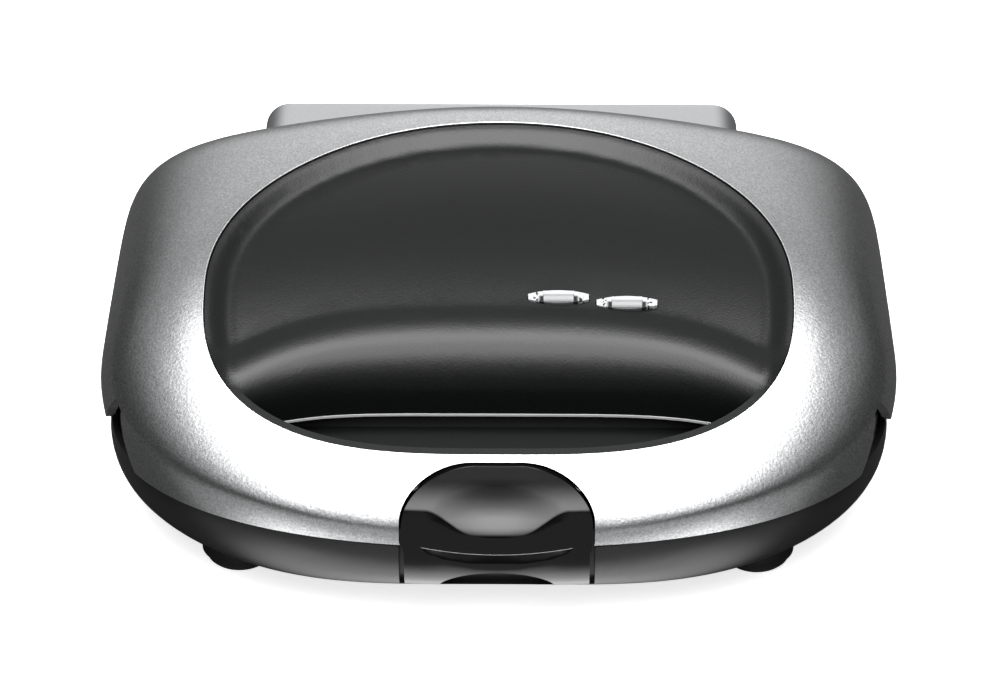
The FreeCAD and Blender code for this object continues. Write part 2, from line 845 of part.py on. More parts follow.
LAMP_SIZES = {
    "lens_half_length": 9.1,
    "lens_half_width": 2.6,
    "lens_end_share": 0.4,
    "lens_proud": 0.6,
    "lens_block_half_length": 4.6,
    "lens_block_half_width": 2.2,
    "lens_block_height": 0.9,
    "lens_block_step": 0.2,
    "lens_block_root": 0.5,
    "lens_ridge_y": -0.6,
    "lens_depth": 5.6,
    "power_lens_x": 18,
    "power_lens_y": -30.5,
    "ready_lens_x": 38.5,
    "ready_lens_y": -31.8,
    "lens_gap": 0.3,
    "lens_hole_depth": 12,
    "holder_left_x": 7,
    "holder_right_x": 50,
    "holder_depth_y": 9,
    "holder_bottom": 58,
    "holder_top": 65.6,
    "holder_post_radius": 1.1,
    "holder_post_top": 69.0,
    "neon_radius": 2.4,
    "neon_length": 13,
    "neon_z": 61.6,
    "neon_window_width": 3,
}
add_sizes("Indicator lamps", LAMP_SIZES)


def make_panel_group():
    grid = panel_grid()
    skin = shaped("PanelSkin", sheet_solid(grid, offset_grid(grid, -float(mm.panel_thickness))))
    low = float(mm.handle_edge_z + mm.panel_edge_trim)
    outline = shaped("PanelOutline", outline_prism(rim_reach, float(mm.rim_gap), low,
                                                   float(mm.opening_top)))
    holes = []
    for label, x, y in (("power_lens", mm.power_lens_x, mm.power_lens_y),
                        ("ready_lens", mm.ready_lens_x, mm.ready_lens_y)):
        holes.append(lens_body(label + "_hole", mm.lens_half_length + mm.lens_gap,
                               mm.lens_half_width + mm.lens_gap, x, y, mm.lens_hole_depth,
                               mm.lens_hole_depth / 2))
        lens = lens_body(label + "_body", mm.lens_half_length, mm.lens_half_width, x, y,
                         mm.lens_depth, mm.lens_proud)
        add_lens_block(lens, label)
        finish_part(lens, label)
    finish_part(cut("LidPanel", common("TrimmedPanel", skin, outline), *holes), "lid_panel")
    return grid


RECESS_SIZES = {
    "pan_floor": 39.2,
    "pan_wall": 1.8,
    "pan_rear_low_y": -52.5,
    "pan_rear_mid_y": -44,
    "pan_rear_mid_z": 54,
    "pan_rear_high_y": -36,
    "pan_rear_high_z": 62,
    "pan_top": 80,
    "pan_front_y": -96,
    "pan_rim_drop": 0.6,
    "pan_half_width": 100,
    "panel_lift": 25,
    "trim_height": 0.7,
    "trim_proud": 0.3,
    "trim_depth": 2.6,
    "trim_half_width": 66,
    "trim_point_count": 23,
}
add_sizes("Finger recess", RECESS_SIZES)

panel_points = make_panel_group()


def pan_solid(name, inset):
    """The recess's outer or inner form, drawn in by an inset."""
    sides = shaped(name + "Sides", outline_prism(rim_reach, float(mm.rim_gap + inset),
                                                 float(mm.pan_floor + inset), float(mm.pan_top)))
    points = [(mm.pan_front_y, mm.pan_floor), (mm.pan_rear_low_y - inset, mm.pan_floor),
              (mm.pan_rear_mid_y - inset, mm.pan_rear_mid_z),
              (mm.pan_rear_high_y - inset, mm.pan_rear_high_z),
              (mm.pan_rear_high_y - inset, mm.pan_top), (mm.pan_front_y, mm.pan_top)]
    run = prism(name + "Run", "YZ_Plane", points, -mm.pan_half_width, mm.pan_half_width)
    return common(name, sides, run)


def make_finger_recess():
    outer = pan_solid("PanOuter", no_gap)
    inner = pan_solid("PanInner", mm.pan_wall)
    under = offset_grid(panel_points, -float(mm.panel_thickness + mm.clearance))
    lift = Vector(0, 0, float(mm.panel_lift))
    above = [[point + lift for point in column] for column in under]
    above_panel = shaped("AbovePanel", sheet_solid(above, under))
    around = offset_grid(panel_points, float(mm.clearance))
    panel_room = shaped("PanelRoom", sheet_solid(around, under))
    crown = shaped("PanCrown", dome_solid(float(mm.pan_rim_drop), float(lid_edge_height)))
    walls = cut("PanWalls", outer, inner)
    limited = common("PanUnderCrown", walls, crown)
    finish_part(cut("FingerRecess", limited, above_panel, panel_room), "finger_recess")


def make_handle_trim():
    """A bright strip under the handle's lower edge."""
    half = float(mm.trim_half_width)
    count = int(float(mm.trim_point_count))
    xs = [-half + 2 * half * number / (count - 1) for number in range(count)]
    top = float(mm.handle_edge_z)
    low = top - float(mm.trim_height)
    curves = []
    for shift in (-float(mm.trim_proud), float(mm.trim_depth)):
        curve = Part.BSplineCurve()
        curve.interpolate([Vector(x, handle_edge(x) + shift, low) for x in xs])
        curves.append(curve.toShape())
    ends = [Part.makeLine(curves[0].valueAt(p), curves[1].valueAt(q))
            for p, q in ((curves[0].FirstParameter, curves[1].FirstParameter),
                         (curves[0].LastParameter, curves[1].LastParameter))]
    face = Part.Face(Part.Wire([curves[0], ends[1], curves[1], ends[0]]))
    strip = face.extrude(Vector(0, 0, float(mm.trim_height)))
    finish_part(shaped("HandleTrim", strip), "handle_trim")


make_finger_recess()
make_handle_trim()

# Lamps under the panel.


def make_lamps():
    holder_y = (mm.power_lens_y - mm.holder_depth_y / 2, mm.power_lens_y + mm.holder_depth_y / 2)
    body = box("HolderBlock", (mm.holder_left_x, mm.holder_right_x), holder_y,
               (mm.holder_bottom, mm.holder_top))
    post_x = (mm.power_lens_x + mm.ready_lens_x) / 2
    post = rod("HolderPost", mm.holder_post_radius, (post_x, mm.power_lens_y, mm.holder_top),
               mm.holder_post_top - mm.holder_top, "z")
    lamps = []
    cuts = []
    for label, x in (("Power", mm.power_lens_x), ("Ready", mm.ready_lens_x)):
        start = (x - mm.neon_length / 2, mm.power_lens_y, mm.neon_z)
        lamps.append(rod(label + "Neon", mm.neon_radius, start, mm.neon_length, "x"))
        cuts.append(rod(label + "NeonBore", mm.neon_radius + mm.fit_gap, start, mm.neon_length, "x"))
        half = mm.neon_window_width / 2
        cuts.append(box(label + "NeonWindow", (x - mm.neon_length / 2, x + mm.neon_length / 2),
                        (mm.power_lens_y - half, mm.power_lens_y + half), (mm.neon_z, mm.opening_top)))
    finish_part(cut("LampHolder", fuse("HolderSolid", body, post), *cuts), "lamp_holder")
    finish_part(group("NeonLamps", *lamps), "neon_lamps")


make_lamps()

# The base's moulded shell.

BASE_SIZES = {
    "base_side_inset": 1.8,
    "base_front_power_share": 2.15,
    "base_front_reach": 79,
    "base_rear_step": 1,
    "base_wall": 2.2,
    "base_bottom": 9.5,
    "base_floor": 12,
    "base_widest_height": 28,
    "base_top_tuck": 0.6,
    "base_front_bottom_inset": 28,
    "base_side_bottom_inset": 20,
    "base_corner_bottom_fill": 11,
    "base_rear_bottom_inset": 12,
    "base_curve_share": 0.66,
    "foot_side_border": 43,
    "foot_front_y": -61,
    "foot_rear_depth": 24,
    "foot_boss_radius": 11.5,
    "foot_boss_height_overlap": 1,
    "foot_height": 3.5,
    "foot_radius": 10,
    "foot_chamfer": 1,
    "foot_stem_radius": 3,
    "foot_stem_height": 5,
}
add_sizes("Base shell", BASE_SIZES)
base_half_width = lid_half_width - mm.base_side_inset
base_rear_reach = lid_rear_reach + mm.base_rear_step
foot_x = lid_half_width - mm.foot_side_border
foot_rear_y = lid_rear_y - mm.foot_rear_depth
HINGE_SIZES = {
    "hinge_reach": 12,
    "hinge_z": 36,
    "hinge_pin_radius": 2.5,
    "hinge_pin_inner_x": 73,
    "ear_inner_x": 78.6,
    "ear_outer_x": 86,
    "ear_radius": 6,
    "ear_root_depth": 2,
    "ear_low_z": 16,
    "ear_shelf_z": 28,
    "ear_front_reach": 6,
    "cover_half_width": 77.6,
    "cover_top": 67,
    "cover_reach": 23,
    "cover_root_depth": 12,
    "cover_radius": 10.6,
    "cover_corner": 8,
    "cover_wall": 2.4,
    "cover_end_wall": 4,
    "cover_edge_radius": 5,
    "cover_gap": 0.3,
    "lead_slot_half_width": 4,
    "lead_slot_height": 2.5,
    "lead_x": 24,
    "lead_radius": 1.6,
    "lead_hole_gap": 1.2,
    "lead_wall_z": 26,
    "cover_boss_radius": 4,
    "cover_screw_depth": 14,
}
add_sizes("Hinge", HINGE_SIZES)
hinge_y = lid_rear_y + mm.hinge_reach
ear_root_y = lid_rear_y - mm.ear_root_depth
ear_front_y = lid_rear_y + mm.ear_front_reach
cover_rear_y = lid_rear_y + mm.cover_reach
cover_front_y = lid_rear_y - mm.cover_root_depth
GLAND_SIZES = {
    "gland_z": 17.5,
    "gland_radius": 5.5,
    "gland_flange_radius": 7.3,
    "gland_flange_thickness": 1.8,
    "gland_bore": 3.4,
    "gland_depth": 6,
    "gland_reach": 6,
    "gland_flange_reach": 1.3,
}
add_sizes("Cord gland", GLAND_SIZES)
gland_inner_y = lid_rear_y - mm.gland_depth
gland_outer_y = lid_rear_y + mm.gland_reach
gland_flange_y = lid_rear_y + mm.gland_flange_reach


def base_reach(angle, inset):
    return superellipse_reach(angle, float(base_half_width) - inset,
                              float(mm.base_front_reach) - inset, float(base_rear_reach) - inset,
                              float(mm.base_front_power_share), float(mm.lid_rear_power_share))


def bottom_inset(angle):
    """How far the flat bottom stands inside the widest line, least at the front corners."""
    front = frontness(angle)
    corner = 4 * front * (1 - front)
    low = mixed(mm.base_side_bottom_inset, mm.base_front_bottom_inset, front)
    low = low - float(mm.base_corner_bottom_fill) * corner
    return mixed(low, mm.base_rear_bottom_inset, rearness(angle))


def base_ring(angles, step, wall, bottom):
    """One ring of the base. Step 0 is the flat bottom and step 1 the widest line."""
    widest = float(mm.base_widest_height)
    curve = float(mm.base_curve_share)
    ring = []
    for angle in angles:
        low = bottom_inset(angle)
        inset = bezier((low, low * (1 - curve), 0, 0), step)
        height = bezier((bottom, bottom, widest - (widest - bottom) * curve, widest), step)
        ring.append(outline_point(angle, base_reach(angle, wall + inset), height))
    return ring


def base_solid(wall, bottom, top):
    """The base's outer form, drawn in by a wall. It curves up from a flat bottom."""
    angles = ring_angles()
    widest = float(mm.base_widest_height)
    rings = [base_ring(angles, step, wall, bottom) for step in BASE_STEP_SHARES]
    tuck = float(mm.base_top_tuck)
    rings.append([outline_point(angle, base_reach(angle, wall + tuck / 2), (widest + top) / 2)
                  for angle in angles])
    rings.append([outline_point(angle, base_reach(angle, wall + tuck), top) for angle in angles])
    return ringed_solid(rings)


BASE_STEP_SHARES = (0.0, 0.15, 0.3, 0.45, 0.6, 0.75, 0.88, 1.0)


def foot_places():
    for side, x in (("Left", -foot_x), ("Right", foot_x)):
        for end, y in (("Front", mm.foot_front_y), ("Rear", foot_rear_y)):
            yield side + end, x, y


def make_base_shell():
    outer = shaped("BaseOuterForm", base_solid(0, float(mm.base_bottom), float(mm.base_rim_height)))
    inner = shaped("BaseInnerForm", base_solid(float(mm.base_wall), float(mm.base_floor),
                                               float(mm.base_rim_height + mm.cut_overrun)))
    hollow = cut("BaseHollow", outer, inner)
    half = mm.recess_half_width
    wall = mm.recess_wall
    recess = box("LatchRecess", (-half, half), (mm.recess_y - mm.window_depth, mm.recess_y),
                 (mm.recess_bottom, mm.base_rim_height + mm.cut_overrun))
    lining = box("RecessLining", (-half - wall, half + wall),
                 (mm.recess_y - mm.window_depth, mm.recess_y + wall),
                 (mm.base_bottom, mm.base_rim_height))
    lined = fuse("BaseLined", hollow, common("RecessWall", lining, outer))
    rear = mm.outline_centre_y + base_rear_reach
    pieces = []
    holes = [recess]
    for name, x, y in foot_places():
        pieces.append(rod(name + "FootBoss", mm.foot_boss_radius, (x, y, mm.foot_height),
                          mm.base_bottom + mm.foot_boss_height_overlap - mm.foot_height, "z"))
        holes.append(rod(name + "FootStemHole", mm.foot_stem_radius + mm.fit_gap,
                         (x, y, mm.foot_height), mm.foot_stem_height, "z"))
    for side, start in (("Left", -mm.ear_outer_x), ("Right", mm.ear_inner_x)):
        end = start + (mm.ear_outer_x - mm.ear_inner_x)
        pieces.append(rod(side + "EarEye", mm.ear_radius, (start, hinge_y, mm.hinge_z), end - start, "x"))
        pieces.append(box(side + "EarRoot", (start, end), (ear_root_y, hinge_y + mm.ear_radius),
                          (mm.ear_low_z, mm.ear_shelf_z)))
        pieces.append(box(side + "EarNeck", (start, end), (ear_front_y, hinge_y + mm.ear_radius),
                          (mm.ear_low_z, mm.hinge_z)))
        holes.append(rod(side + "EarBore", mm.hinge_pin_radius + mm.fit_gap,
                         (start, hinge_y, mm.hinge_z), end - start, "x"))
    for name, x, y in base_screw_places():
        holes.append(rod(name + "BaseScrewHole", mm.screw_radius + mm.clearance,
                         (x, y, mm.base_bottom - mm.cut_overrun), 2 * mm.cut_overrun, "z"))
    holes.append(rod("LeadWallHole", mm.lead_radius + mm.lead_hole_gap,
                     (mm.lead_x, rear - mm.cut_overrun, mm.lead_wall_z), 2 * mm.cut_overrun, "y"))
    holes.append(rod("GlandHole", mm.gland_radius + mm.fit_gap,
                     (0, rear - 2 * mm.cut_overrun, mm.gland_z), 3 * mm.cut_overrun, "y"))
    finish_part(cut("BaseShell", fuse("BaseJoined", lined, *pieces), *holes), "base_shell")
    return outer


BASE_SCREW_SIZES = {
    "base_screw_front_x": 50,
    "base_screw_front_y": -66,
    "base_screw_rear_x": 60,
    "base_screw_rear_depth": 17.6,
    "base_post_radius": 3.2,
    "base_screw_length": 14,
}
add_sizes("Base screws", BASE_SCREW_SIZES)
base_screw_rear_y = lid_rear_y - mm.base_screw_rear_depth


def base_screw_places():
    for side, sign in (("Left", -1), ("Right", 1)):
        yield side + "Front", mm.base_screw_front_x * sign, mm.base_screw_front_y
        yield side + "Rear", mm.base_screw_rear_x * sign, base_screw_rear_y


base_outer_form = make_base_shell()


def make_feet():
    radius, chamfer, high = mm.foot_radius, mm.foot_chamfer, mm.foot_height
    stem = mm.foot_stem_radius
    top = high + mm.foot_stem_height
    profile = [(0, 0), (radius - chamfer, 0), (radius, chamfer), (radius, high), (stem, high),
               (stem, top), (0, top)]
    feet = [turned(name + "Foot", profile, x, y) for name, x, y in foot_places()]
    finish_part(group("RubberFeet", *feet), "rubber_feet")


def make_gland():
    body = rod("GlandBarrel", mm.gland_radius, (0, gland_inner_y, mm.gland_z),
               gland_outer_y - gland_inner_y, "y")
    flange = rod("GlandFlange", mm.gland_flange_radius, (0, gland_flange_y, mm.gland_z),
                 mm.gland_flange_thickness, "y")
    bore = rod("GlandBore", mm.gland_bore, (0, gland_inner_y, mm.gland_z),
               gland_outer_y - gland_inner_y, "y")
    finish_part(cut("CordGland", fuse("GlandSolid", body, flange), bore), "cord_gland")


make_feet()
make_gland()

# The hinge cover behind the lid, its pins and its screws.


def make_hinge_cover():
    half = mm.cover_half_width
    axis = (hinge_y, mm.hinge_z)
    tall = box("CoverBlock", (-half, half), (cover_front_y, cover_rear_y),
               (mm.hinge_z, mm.cover_top))
    chest = rod("CoverBarrel", mm.cover_radius, (-half, *axis), 2 * half, "x")
    wall = mm.cover_wall
    inside_half = half - mm.cover_end_wall
    hollow = box("CoverHollow", (-inside_half, inside_half), (cover_front_y, cover_rear_y - wall),
                 (mm.hinge_z, mm.cover_top - wall))
    throat = rod("CoverThroat", mm.cover_radius - wall, (-inside_half, *axis), 2 * inside_half, "x")
    low_front = box("CoverFrontClear", (-half, half), (cover_front_y, hinge_y - mm.cover_radius),
                    (mm.hinge_z - mm.cover_radius, mm.hinge_z + mm.cover_radius))
    gap = float(mm.cover_gap)
    dome = shaped("CoverDome", dome_solid(-gap, float(lid_edge_height - mm.cut_overrun)))
    block = common("CoverRounded", tall, cover_corners())
    slot = box("CoverLeadSlot", (mm.lead_x - mm.lead_slot_half_width, mm.lead_x + mm.lead_slot_half_width),
               (cover_front_y, cover_rear_y),
               (mm.hinge_z - mm.cover_radius, mm.hinge_z - mm.lead_slot_height))
    bosses = []
    holes = []
    for side, x in (("Left", -mm.cover_screw_x), ("Right", mm.cover_screw_x)):
        length = cover_rear_y - wall - cover_front_y
        bosses.append(rod(side + "CoverBoss", mm.cover_boss_radius,
                          (x, cover_front_y, mm.cover_screw_z), length, "y"))
        holes.append(rod(side + "CoverBossHole", mm.screw_radius + mm.fit_gap,
                         (x, cover_front_y, mm.cover_screw_z), length - wall, "y"))
    for side, start in (("Left", -half), ("Right", half - mm.cover_end_wall)):
        holes.append(rod(side + "CoverBore", mm.hinge_pin_radius + mm.fit_gap, (start, *axis),
                         mm.cover_end_wall, "x"))
    shell = cut("CoverShell", fuse("CoverSolid", block, chest), hollow, throat)
    trimmed = cut("CoverTrimmed", fuse("CoverBossed", shell, *bosses), dome, low_front, slot, *holes)
    finish_part(trimmed, "hinge_cover")


def cover_corners():
    """The cover's envelope: a slab with two round upper corners and a round rear edge."""
    half, top, corner = mm.cover_half_width, mm.cover_top, mm.cover_corner
    body = document.addObject("PartDesign::Body", "CoverEnvelope")
    sketch = new_sketch(body, "CoverEnvelopeOutline", "XZ_Plane", -cover_rear_y)
    draw_rectangle(sketch, (-half, half), (top - mm.cover_height, top), corner)
    add_feature(body, "Pad", "CoverEnvelopePad", sketch, Length=cover_rear_y - cover_front_y)
    document.recompute()
    pad = body.Tip
    edges = ["Edge%d" % (number + 1) for number, edge in enumerate(pad.Shape.Edges)
             if min(vertex.Y for vertex in edge.Vertexes) > float(cover_rear_y) - 1e-6
             and max(vertex.Z for vertex in edge.Vertexes) > float(mm.hinge_z)]
    rounding = body.newObject("PartDesign::Fillet", "CoverRearRounding")
    rounding.Base = (pad, edges)
    bind(rounding, Radius=mm.cover_edge_radius)
    return body


COVER_ENVELOPE_SIZES = {"cover_height": 50}
add_sizes("Cover envelope", COVER_ENVELOPE_SIZES)


def make_hinge_pins():
    length = mm.ear_outer_x - mm.hinge_pin_inner_x
    pins = [rod(side + "HingePin", mm.hinge_pin_radius, (start, hinge_y, mm.hinge_z), length, "x")
            for side, start in (("Left", -mm.ear_outer_x), ("Right", mm.hinge_pin_inner_x))]
    finish_part(group("HingePins", *pins), "hinge_pins")


def screw(name, x, y, z, length, axis):
    """A screw with its head's outer face at a place and its shank running on along y or z."""
    head = mm.screw_head_height
    top = rod(name + "Head", mm.screw_head_radius, (x, y, z), head, axis)
    neck = (x, y + head, z) if axis == "y" else (x, y, z + head)
    return fuse(name, top, rod(name + "Shank", mm.screw_radius, neck, length, axis))


def make_cover_screws():
    wall_y = mm.outline_centre_y + lid_rear_reach - mm.lid_wall - mm.cover_seat
    screws = [screw(side + "CoverScrew", x, wall_y - mm.screw_head_height, mm.cover_screw_z,
                    mm.cover_screw_depth, "y")
              for side, x in (("Left", -mm.cover_screw_x), ("Right", mm.cover_screw_x))]
    finish_part(group("CoverScrews", *screws), "cover_screws")


COVER_SCREW_SIZES = {"cover_seat": 0.6}
add_sizes("Cover screws", COVER_SCREW_SIZES)

make_hinge_cover()
make_hinge_pins()
make_cover_screws()

# The latch, its pin, its spring and the catch on the base.

LATCH_DETAIL_SIZES = {
    "front_point_count": 24,
    "latch_upper_row_count": 22,
    "latch_lower_row_count": 12,
    "latch_margin": 1,
    "spring_coil_radius": 1.75,
    "spring_wire_radius": 0.3,
    "spring_half_length": 5,
    "spring_pitch": 0.72,
    "catch_plate_thickness": 1.0,
    "catch_plate_bottom": 18,
    "catch_plate_top": 30.8,
    "lug_relief": 0.5,
    "lug_side_gap": 0.3,
    "lug_neck_half_width": 1.9,
    "knuckle_root_y": -96,
    "knuckle_root_bottom": 43,
    "knuckle_root_top": 45.4,
}
add_sizes("Latch details", LATCH_DETAIL_SIZES)


def closed_front():
    """Points down the closed front in the middle plane: the lid's dome, then the base."""
    front = [-math.pi / 2]
    count = int(float(mm.front_point_count))
    steps = [number / count for number in range(count + 1)]
    lid = [dome_ring(front, step, 0)[0] for step in steps]
    base = [base_ring(front, 1 - step, 0, float(mm.base_bottom))[0] for step in steps]
    return lid + base


def front_at(points, height):
    """Where the closed front stands at one height."""
    for above, below in zip(points, points[1:]):
        if below.z <= height <= above.z and above.z > below.z:
            return above.y + (below.y - above.y) * (above.z - height) / (above.z - below.z)
    return points[-1].y


def lip_height(x):
    """Height of the latch's finger lip, lowest in the middle."""
    share = min(abs(x) / float(mm.lip_half_width), 1.0)
    return mixed(mm.lip_height, mm.lip_end_height, share ** 2)


def dimple_at(x, z):
    """Depth of the shallow thumb dimple."""
    across = (x / float(mm.dimple_half_width)) ** 2
    up = ((z - float(mm.dimple_centre_z)) / float(mm.dimple_half_height)) ** 2
    return float(mm.dimple_depth) * max(1 - across - up, 0.0) ** float(mm.dimple_power_share)


def scoop_at(x, z):
    """Depth of the scoop under the lip, deepest right under the lip."""
    spread = max(1 - (x / float(mm.lip_half_width)) ** 2, 0.0)
    height = float(mm.lip_height - mm.scoop_bottom) * spread
    if not height:
        return 0
    share = min(max(1 - (lip_height(x) - z) / height, 0.0), 1.0)
    return float(mm.scoop_depth) * spread ** float(mm.scoop_power_share) * share


LIP_STEPS = (2.5, 1.5, 0.5)


def latch_column(x, front):
    """Outer and inner points down one section of the latch."""
    lip, edge = lip_height(x), float(mm.lip_edge_step)
    top, low = float(mm.latch_top + mm.latch_margin), float(mm.latch_bottom - mm.latch_margin)
    above, below = int(float(mm.latch_upper_row_count)), int(float(mm.latch_lower_row_count))
    start, end = lip + LIP_STEPS[0] * edge, lip - LIP_STEPS[0] * edge
    upper = [top + (start - top) * row / above for row in range(above)]
    upper += [lip + edge * step for step in LIP_STEPS]
    lower = [lip - edge * step for step in reversed(LIP_STEPS)]
    lower += [end + (low - end) * (row + 1) / below for row in range(below)]
    bow = float(mm.latch_front_radius) - (float(mm.latch_front_radius) ** 2 - x ** 2) ** 0.5
    outer, inner = [], []
    for z in upper + lower:
        face = front_at(front, z) - float(mm.latch_proud) + bow
        sunk = dimple_at(x, z) if z > lip else scoop_at(x, z)
        thinning = (z - float(mm.latch_thinning_start)) / float(
            mm.latch_thinning_end - mm.latch_thinning_start)
        thickness = mixed(mm.latch_thickness, mm.latch_top_thickness, smooth_step(thinning))
        outer.append(Vector(x, face + sunk, z))
        inner.append(Vector(x, face + thickness, z))
    return outer, inner


def make_latch_skin():
    """The latch's curved plate: a dimple above, a lip and a scoop for the fingers below."""
    front = closed_front()
    columns = int(float(mm.grid_column_count))
    half = float(mm.latch_half_width + mm.latch_margin)
    grids = [latch_column(-half + 2 * half * number / (columns - 1), front)
             for number in range(columns)]
    return sheet_solid([outer for outer, inner in grids], [inner for outer, inner in grids])


def make_latch():
    y, z = latch_pivot
    skin = common("LatchTrimmed", shaped("LatchSkin", make_latch_skin()),
                  latch_window("LatchOutline", no_gap))
    face_y = mm.outline_centre_y - mm.lid_front_reach - mm.latch_proud
    scallop = ellipsoid("BottomScallop", (0, face_y, mm.latch_bottom), mm.scallop_half_width,
                        mm.scallop_run, mm.scallop_height)
    pieces = []
    cuts = [scallop]
    for side, sign in (("Left", -1), ("Right", 1)):
        inner, outer = mm.knuckle_inner_x * sign, mm.knuckle_outer_x * sign
        start = outer if sign < 0 else inner
        width = mm.knuckle_outer_x - mm.knuckle_inner_x
        pieces.append(rod(side + "Knuckle", mm.knuckle_radius, (start, y, z), width, "x"))
        pieces.append(box(side + "KnuckleRoot", (start, start + width), (mm.knuckle_root_y, y),
                          (mm.knuckle_root_bottom, mm.knuckle_root_top)))
        gap = mm.lug_side_gap
        start = -mm.lug_outer_x - gap if sign < 0 else mm.lug_inner_x - gap
        cuts.append(rod(side + "LugRelief", mm.lug_radius + mm.lug_relief, (start, y, z),
                        mm.lug_outer_x - mm.lug_inner_x + 2 * gap, "x"))
    reach = mm.latch_pin_half_length + mm.latch_margin
    cuts.append(rod("LatchBore", mm.latch_pin_radius + mm.fit_gap, (-reach, y, z), 2 * reach, "x"))
    half = mm.hook_half_width
    pieces.append(box("LatchHook", (-half, half), (face_y + mm.hook_root_depth, mm.hook_reach_y),
                      (mm.hook_bottom, mm.hook_top)))
    reach = mm.spring_half_length + mm.latch_margin
    cuts.append(rod("SpringRelief", mm.spring_coil_radius + 2 * mm.spring_wire_radius + mm.clearance,
                    (-reach, y, z), 2 * reach, "x"))
    finish_part(cut("Latch", fuse("LatchJoined", skin, *pieces), *cuts), "latch")
    finish_part(rod("LatchPin", mm.latch_pin_radius, (-mm.latch_pin_half_length, y, z),
                    2 * mm.latch_pin_half_length, "x"), "latch_pin")


def make_spring():
    y, z = float(latch_pivot[0]), float(latch_pivot[1])
    half, radius = float(mm.spring_half_length), float(mm.spring_coil_radius)
    wire = float(mm.spring_wire_radius)
    turns = int(2 * half / float(mm.spring_pitch))
    helix = Part.makeHelix(2 * half / turns, 2 * half, radius)
    start = helix.Edges[0].valueAt(helix.Edges[0].FirstParameter)
    circle = Part.Wire([Part.makeCircle(wire, start, Vector(0, 1, 0))])
    coil = Part.Wire(helix.Edges).makePipeShell([circle], True, True)
    coil.Placement = FreeCAD.Placement(Vector(-half, y, z), FreeCAD.Rotation(Vector(0, 1, 0), 90))
    finish_part(shaped("LatchSpring", coil), "latch_spring")


def make_catch():
    half, wall = mm.catch_half_width, mm.recess_y
    plate = box("CatchPlate", (-half, half), (wall - mm.catch_plate_thickness, wall),
                (mm.catch_plate_bottom, mm.catch_plate_top))
    ledge = box("CatchLedge", (-half, half), (mm.catch_reach_y, wall), (mm.catch_bottom, mm.catch_top))
    finish_part(fuse("LatchCatch", plate, ledge), "latch_catch")


make_latch()
make_spring()
make_catch()

# The metal frames that close the two halves round their plates.

FRAME_SIZES = {
    "deck_thickness": 2,
    "base_deck_inset": 3.4,
    "lid_deck_inset": 5.0,
    "plate_side_border": 17,
    "plate_front_y": -48,
    "plate_rear_border": 14,
    "plate_corner": 10,
    "plate_slab": 4,
    "lower_plate_bottom": 27,
    "plate_gap": 0.4,
    "frame_wall": 2,
    "ledge_reach": 2.8,
    "ledge_thickness": 2,
    "sensor_half_width": 12,
    "sensor_front_y": -60,
    "sensor_gap": 0.6,
    "pocket_depth": 9,
    "pocket_wall": 1.8,
    "pocket_inner_x": 5,
    "pocket_side_border": 8,
    "pocket_front_y": -41,
    "pocket_rear_border": 9,
    "pocket_ridge": 6,
    "ridge_slope_share": 1.8,
    "pocket_draft": 8,
    "frame_boss_radius": 5,
    "frame_boss_top": 38,
    "counterbore_depth": 2.8,
    "notch_wall_inset": 5.2,
    "notch_wall_thickness": 1.6,
    "notch_wall_front_y": -68,
    "notch_wall_rear_y": -28,
    "notch_wall_top": 54,
    "notch_wall_gap": 0.3,
    "deck_lift": 1.0,
    "shield_post_inset": 1,
    "shield_post_front_y": -30,
    "shield_post_rear_depth": 18,
    "shield_post_radius": 1.8,
}
add_sizes("Frames and plates", FRAME_SIZES)
plate_half_width = lid_half_width - mm.plate_side_border
plate_rear_y = lid_rear_y - mm.plate_rear_border
pocket_outer_x = plate_half_width - mm.pocket_side_border
pocket_rear_y = plate_rear_y - mm.pocket_rear_border
shield_post_x = plate_half_width - mm.shield_post_inset
shield_post_rear_y = plate_rear_y - mm.shield_post_rear_depth
lid_deck_bottom = mm.base_rim_height + mm.deck_lift


def frame(name, reach, inset, deck, wall_far, ledge):
    """A deck with a walled opening and a ledge that the plate's edge rests on."""
    x, gap, wall = plate_half_width, mm.plate_gap, mm.frame_wall
    y = (mm.plate_front_y, plate_rear_y)
    corner = mm.plate_corner
    low, high = sorted(deck, key=float)
    sheet_metal = shaped(name + "Deck", outline_prism(reach, float(inset), float(low), float(high)))
    far = sorted((wall_far, deck[0]), key=float)
    out = gap + wall
    sleeve = slab(name + "Sleeve", (-x - out, x + out), (y[0] - out, y[1] + out), far, corner + out)
    solid = fuse(name + "Solid", sheet_metal, sleeve)
    span = (min(far[0], low, key=float) - mm.cut_overrun, max(far[1], high, key=float) + mm.cut_overrun)
    over = mm.ledge_reach
    through = slab(name + "Opening", (-x + over, x - over), (y[0] + over, y[1] - over), span,
                   corner - over)
    seat = slab(name + "Seat", (-x - gap, x + gap), (y[0] - gap, y[1] + gap), ledge, corner + gap)
    return solid, through, seat


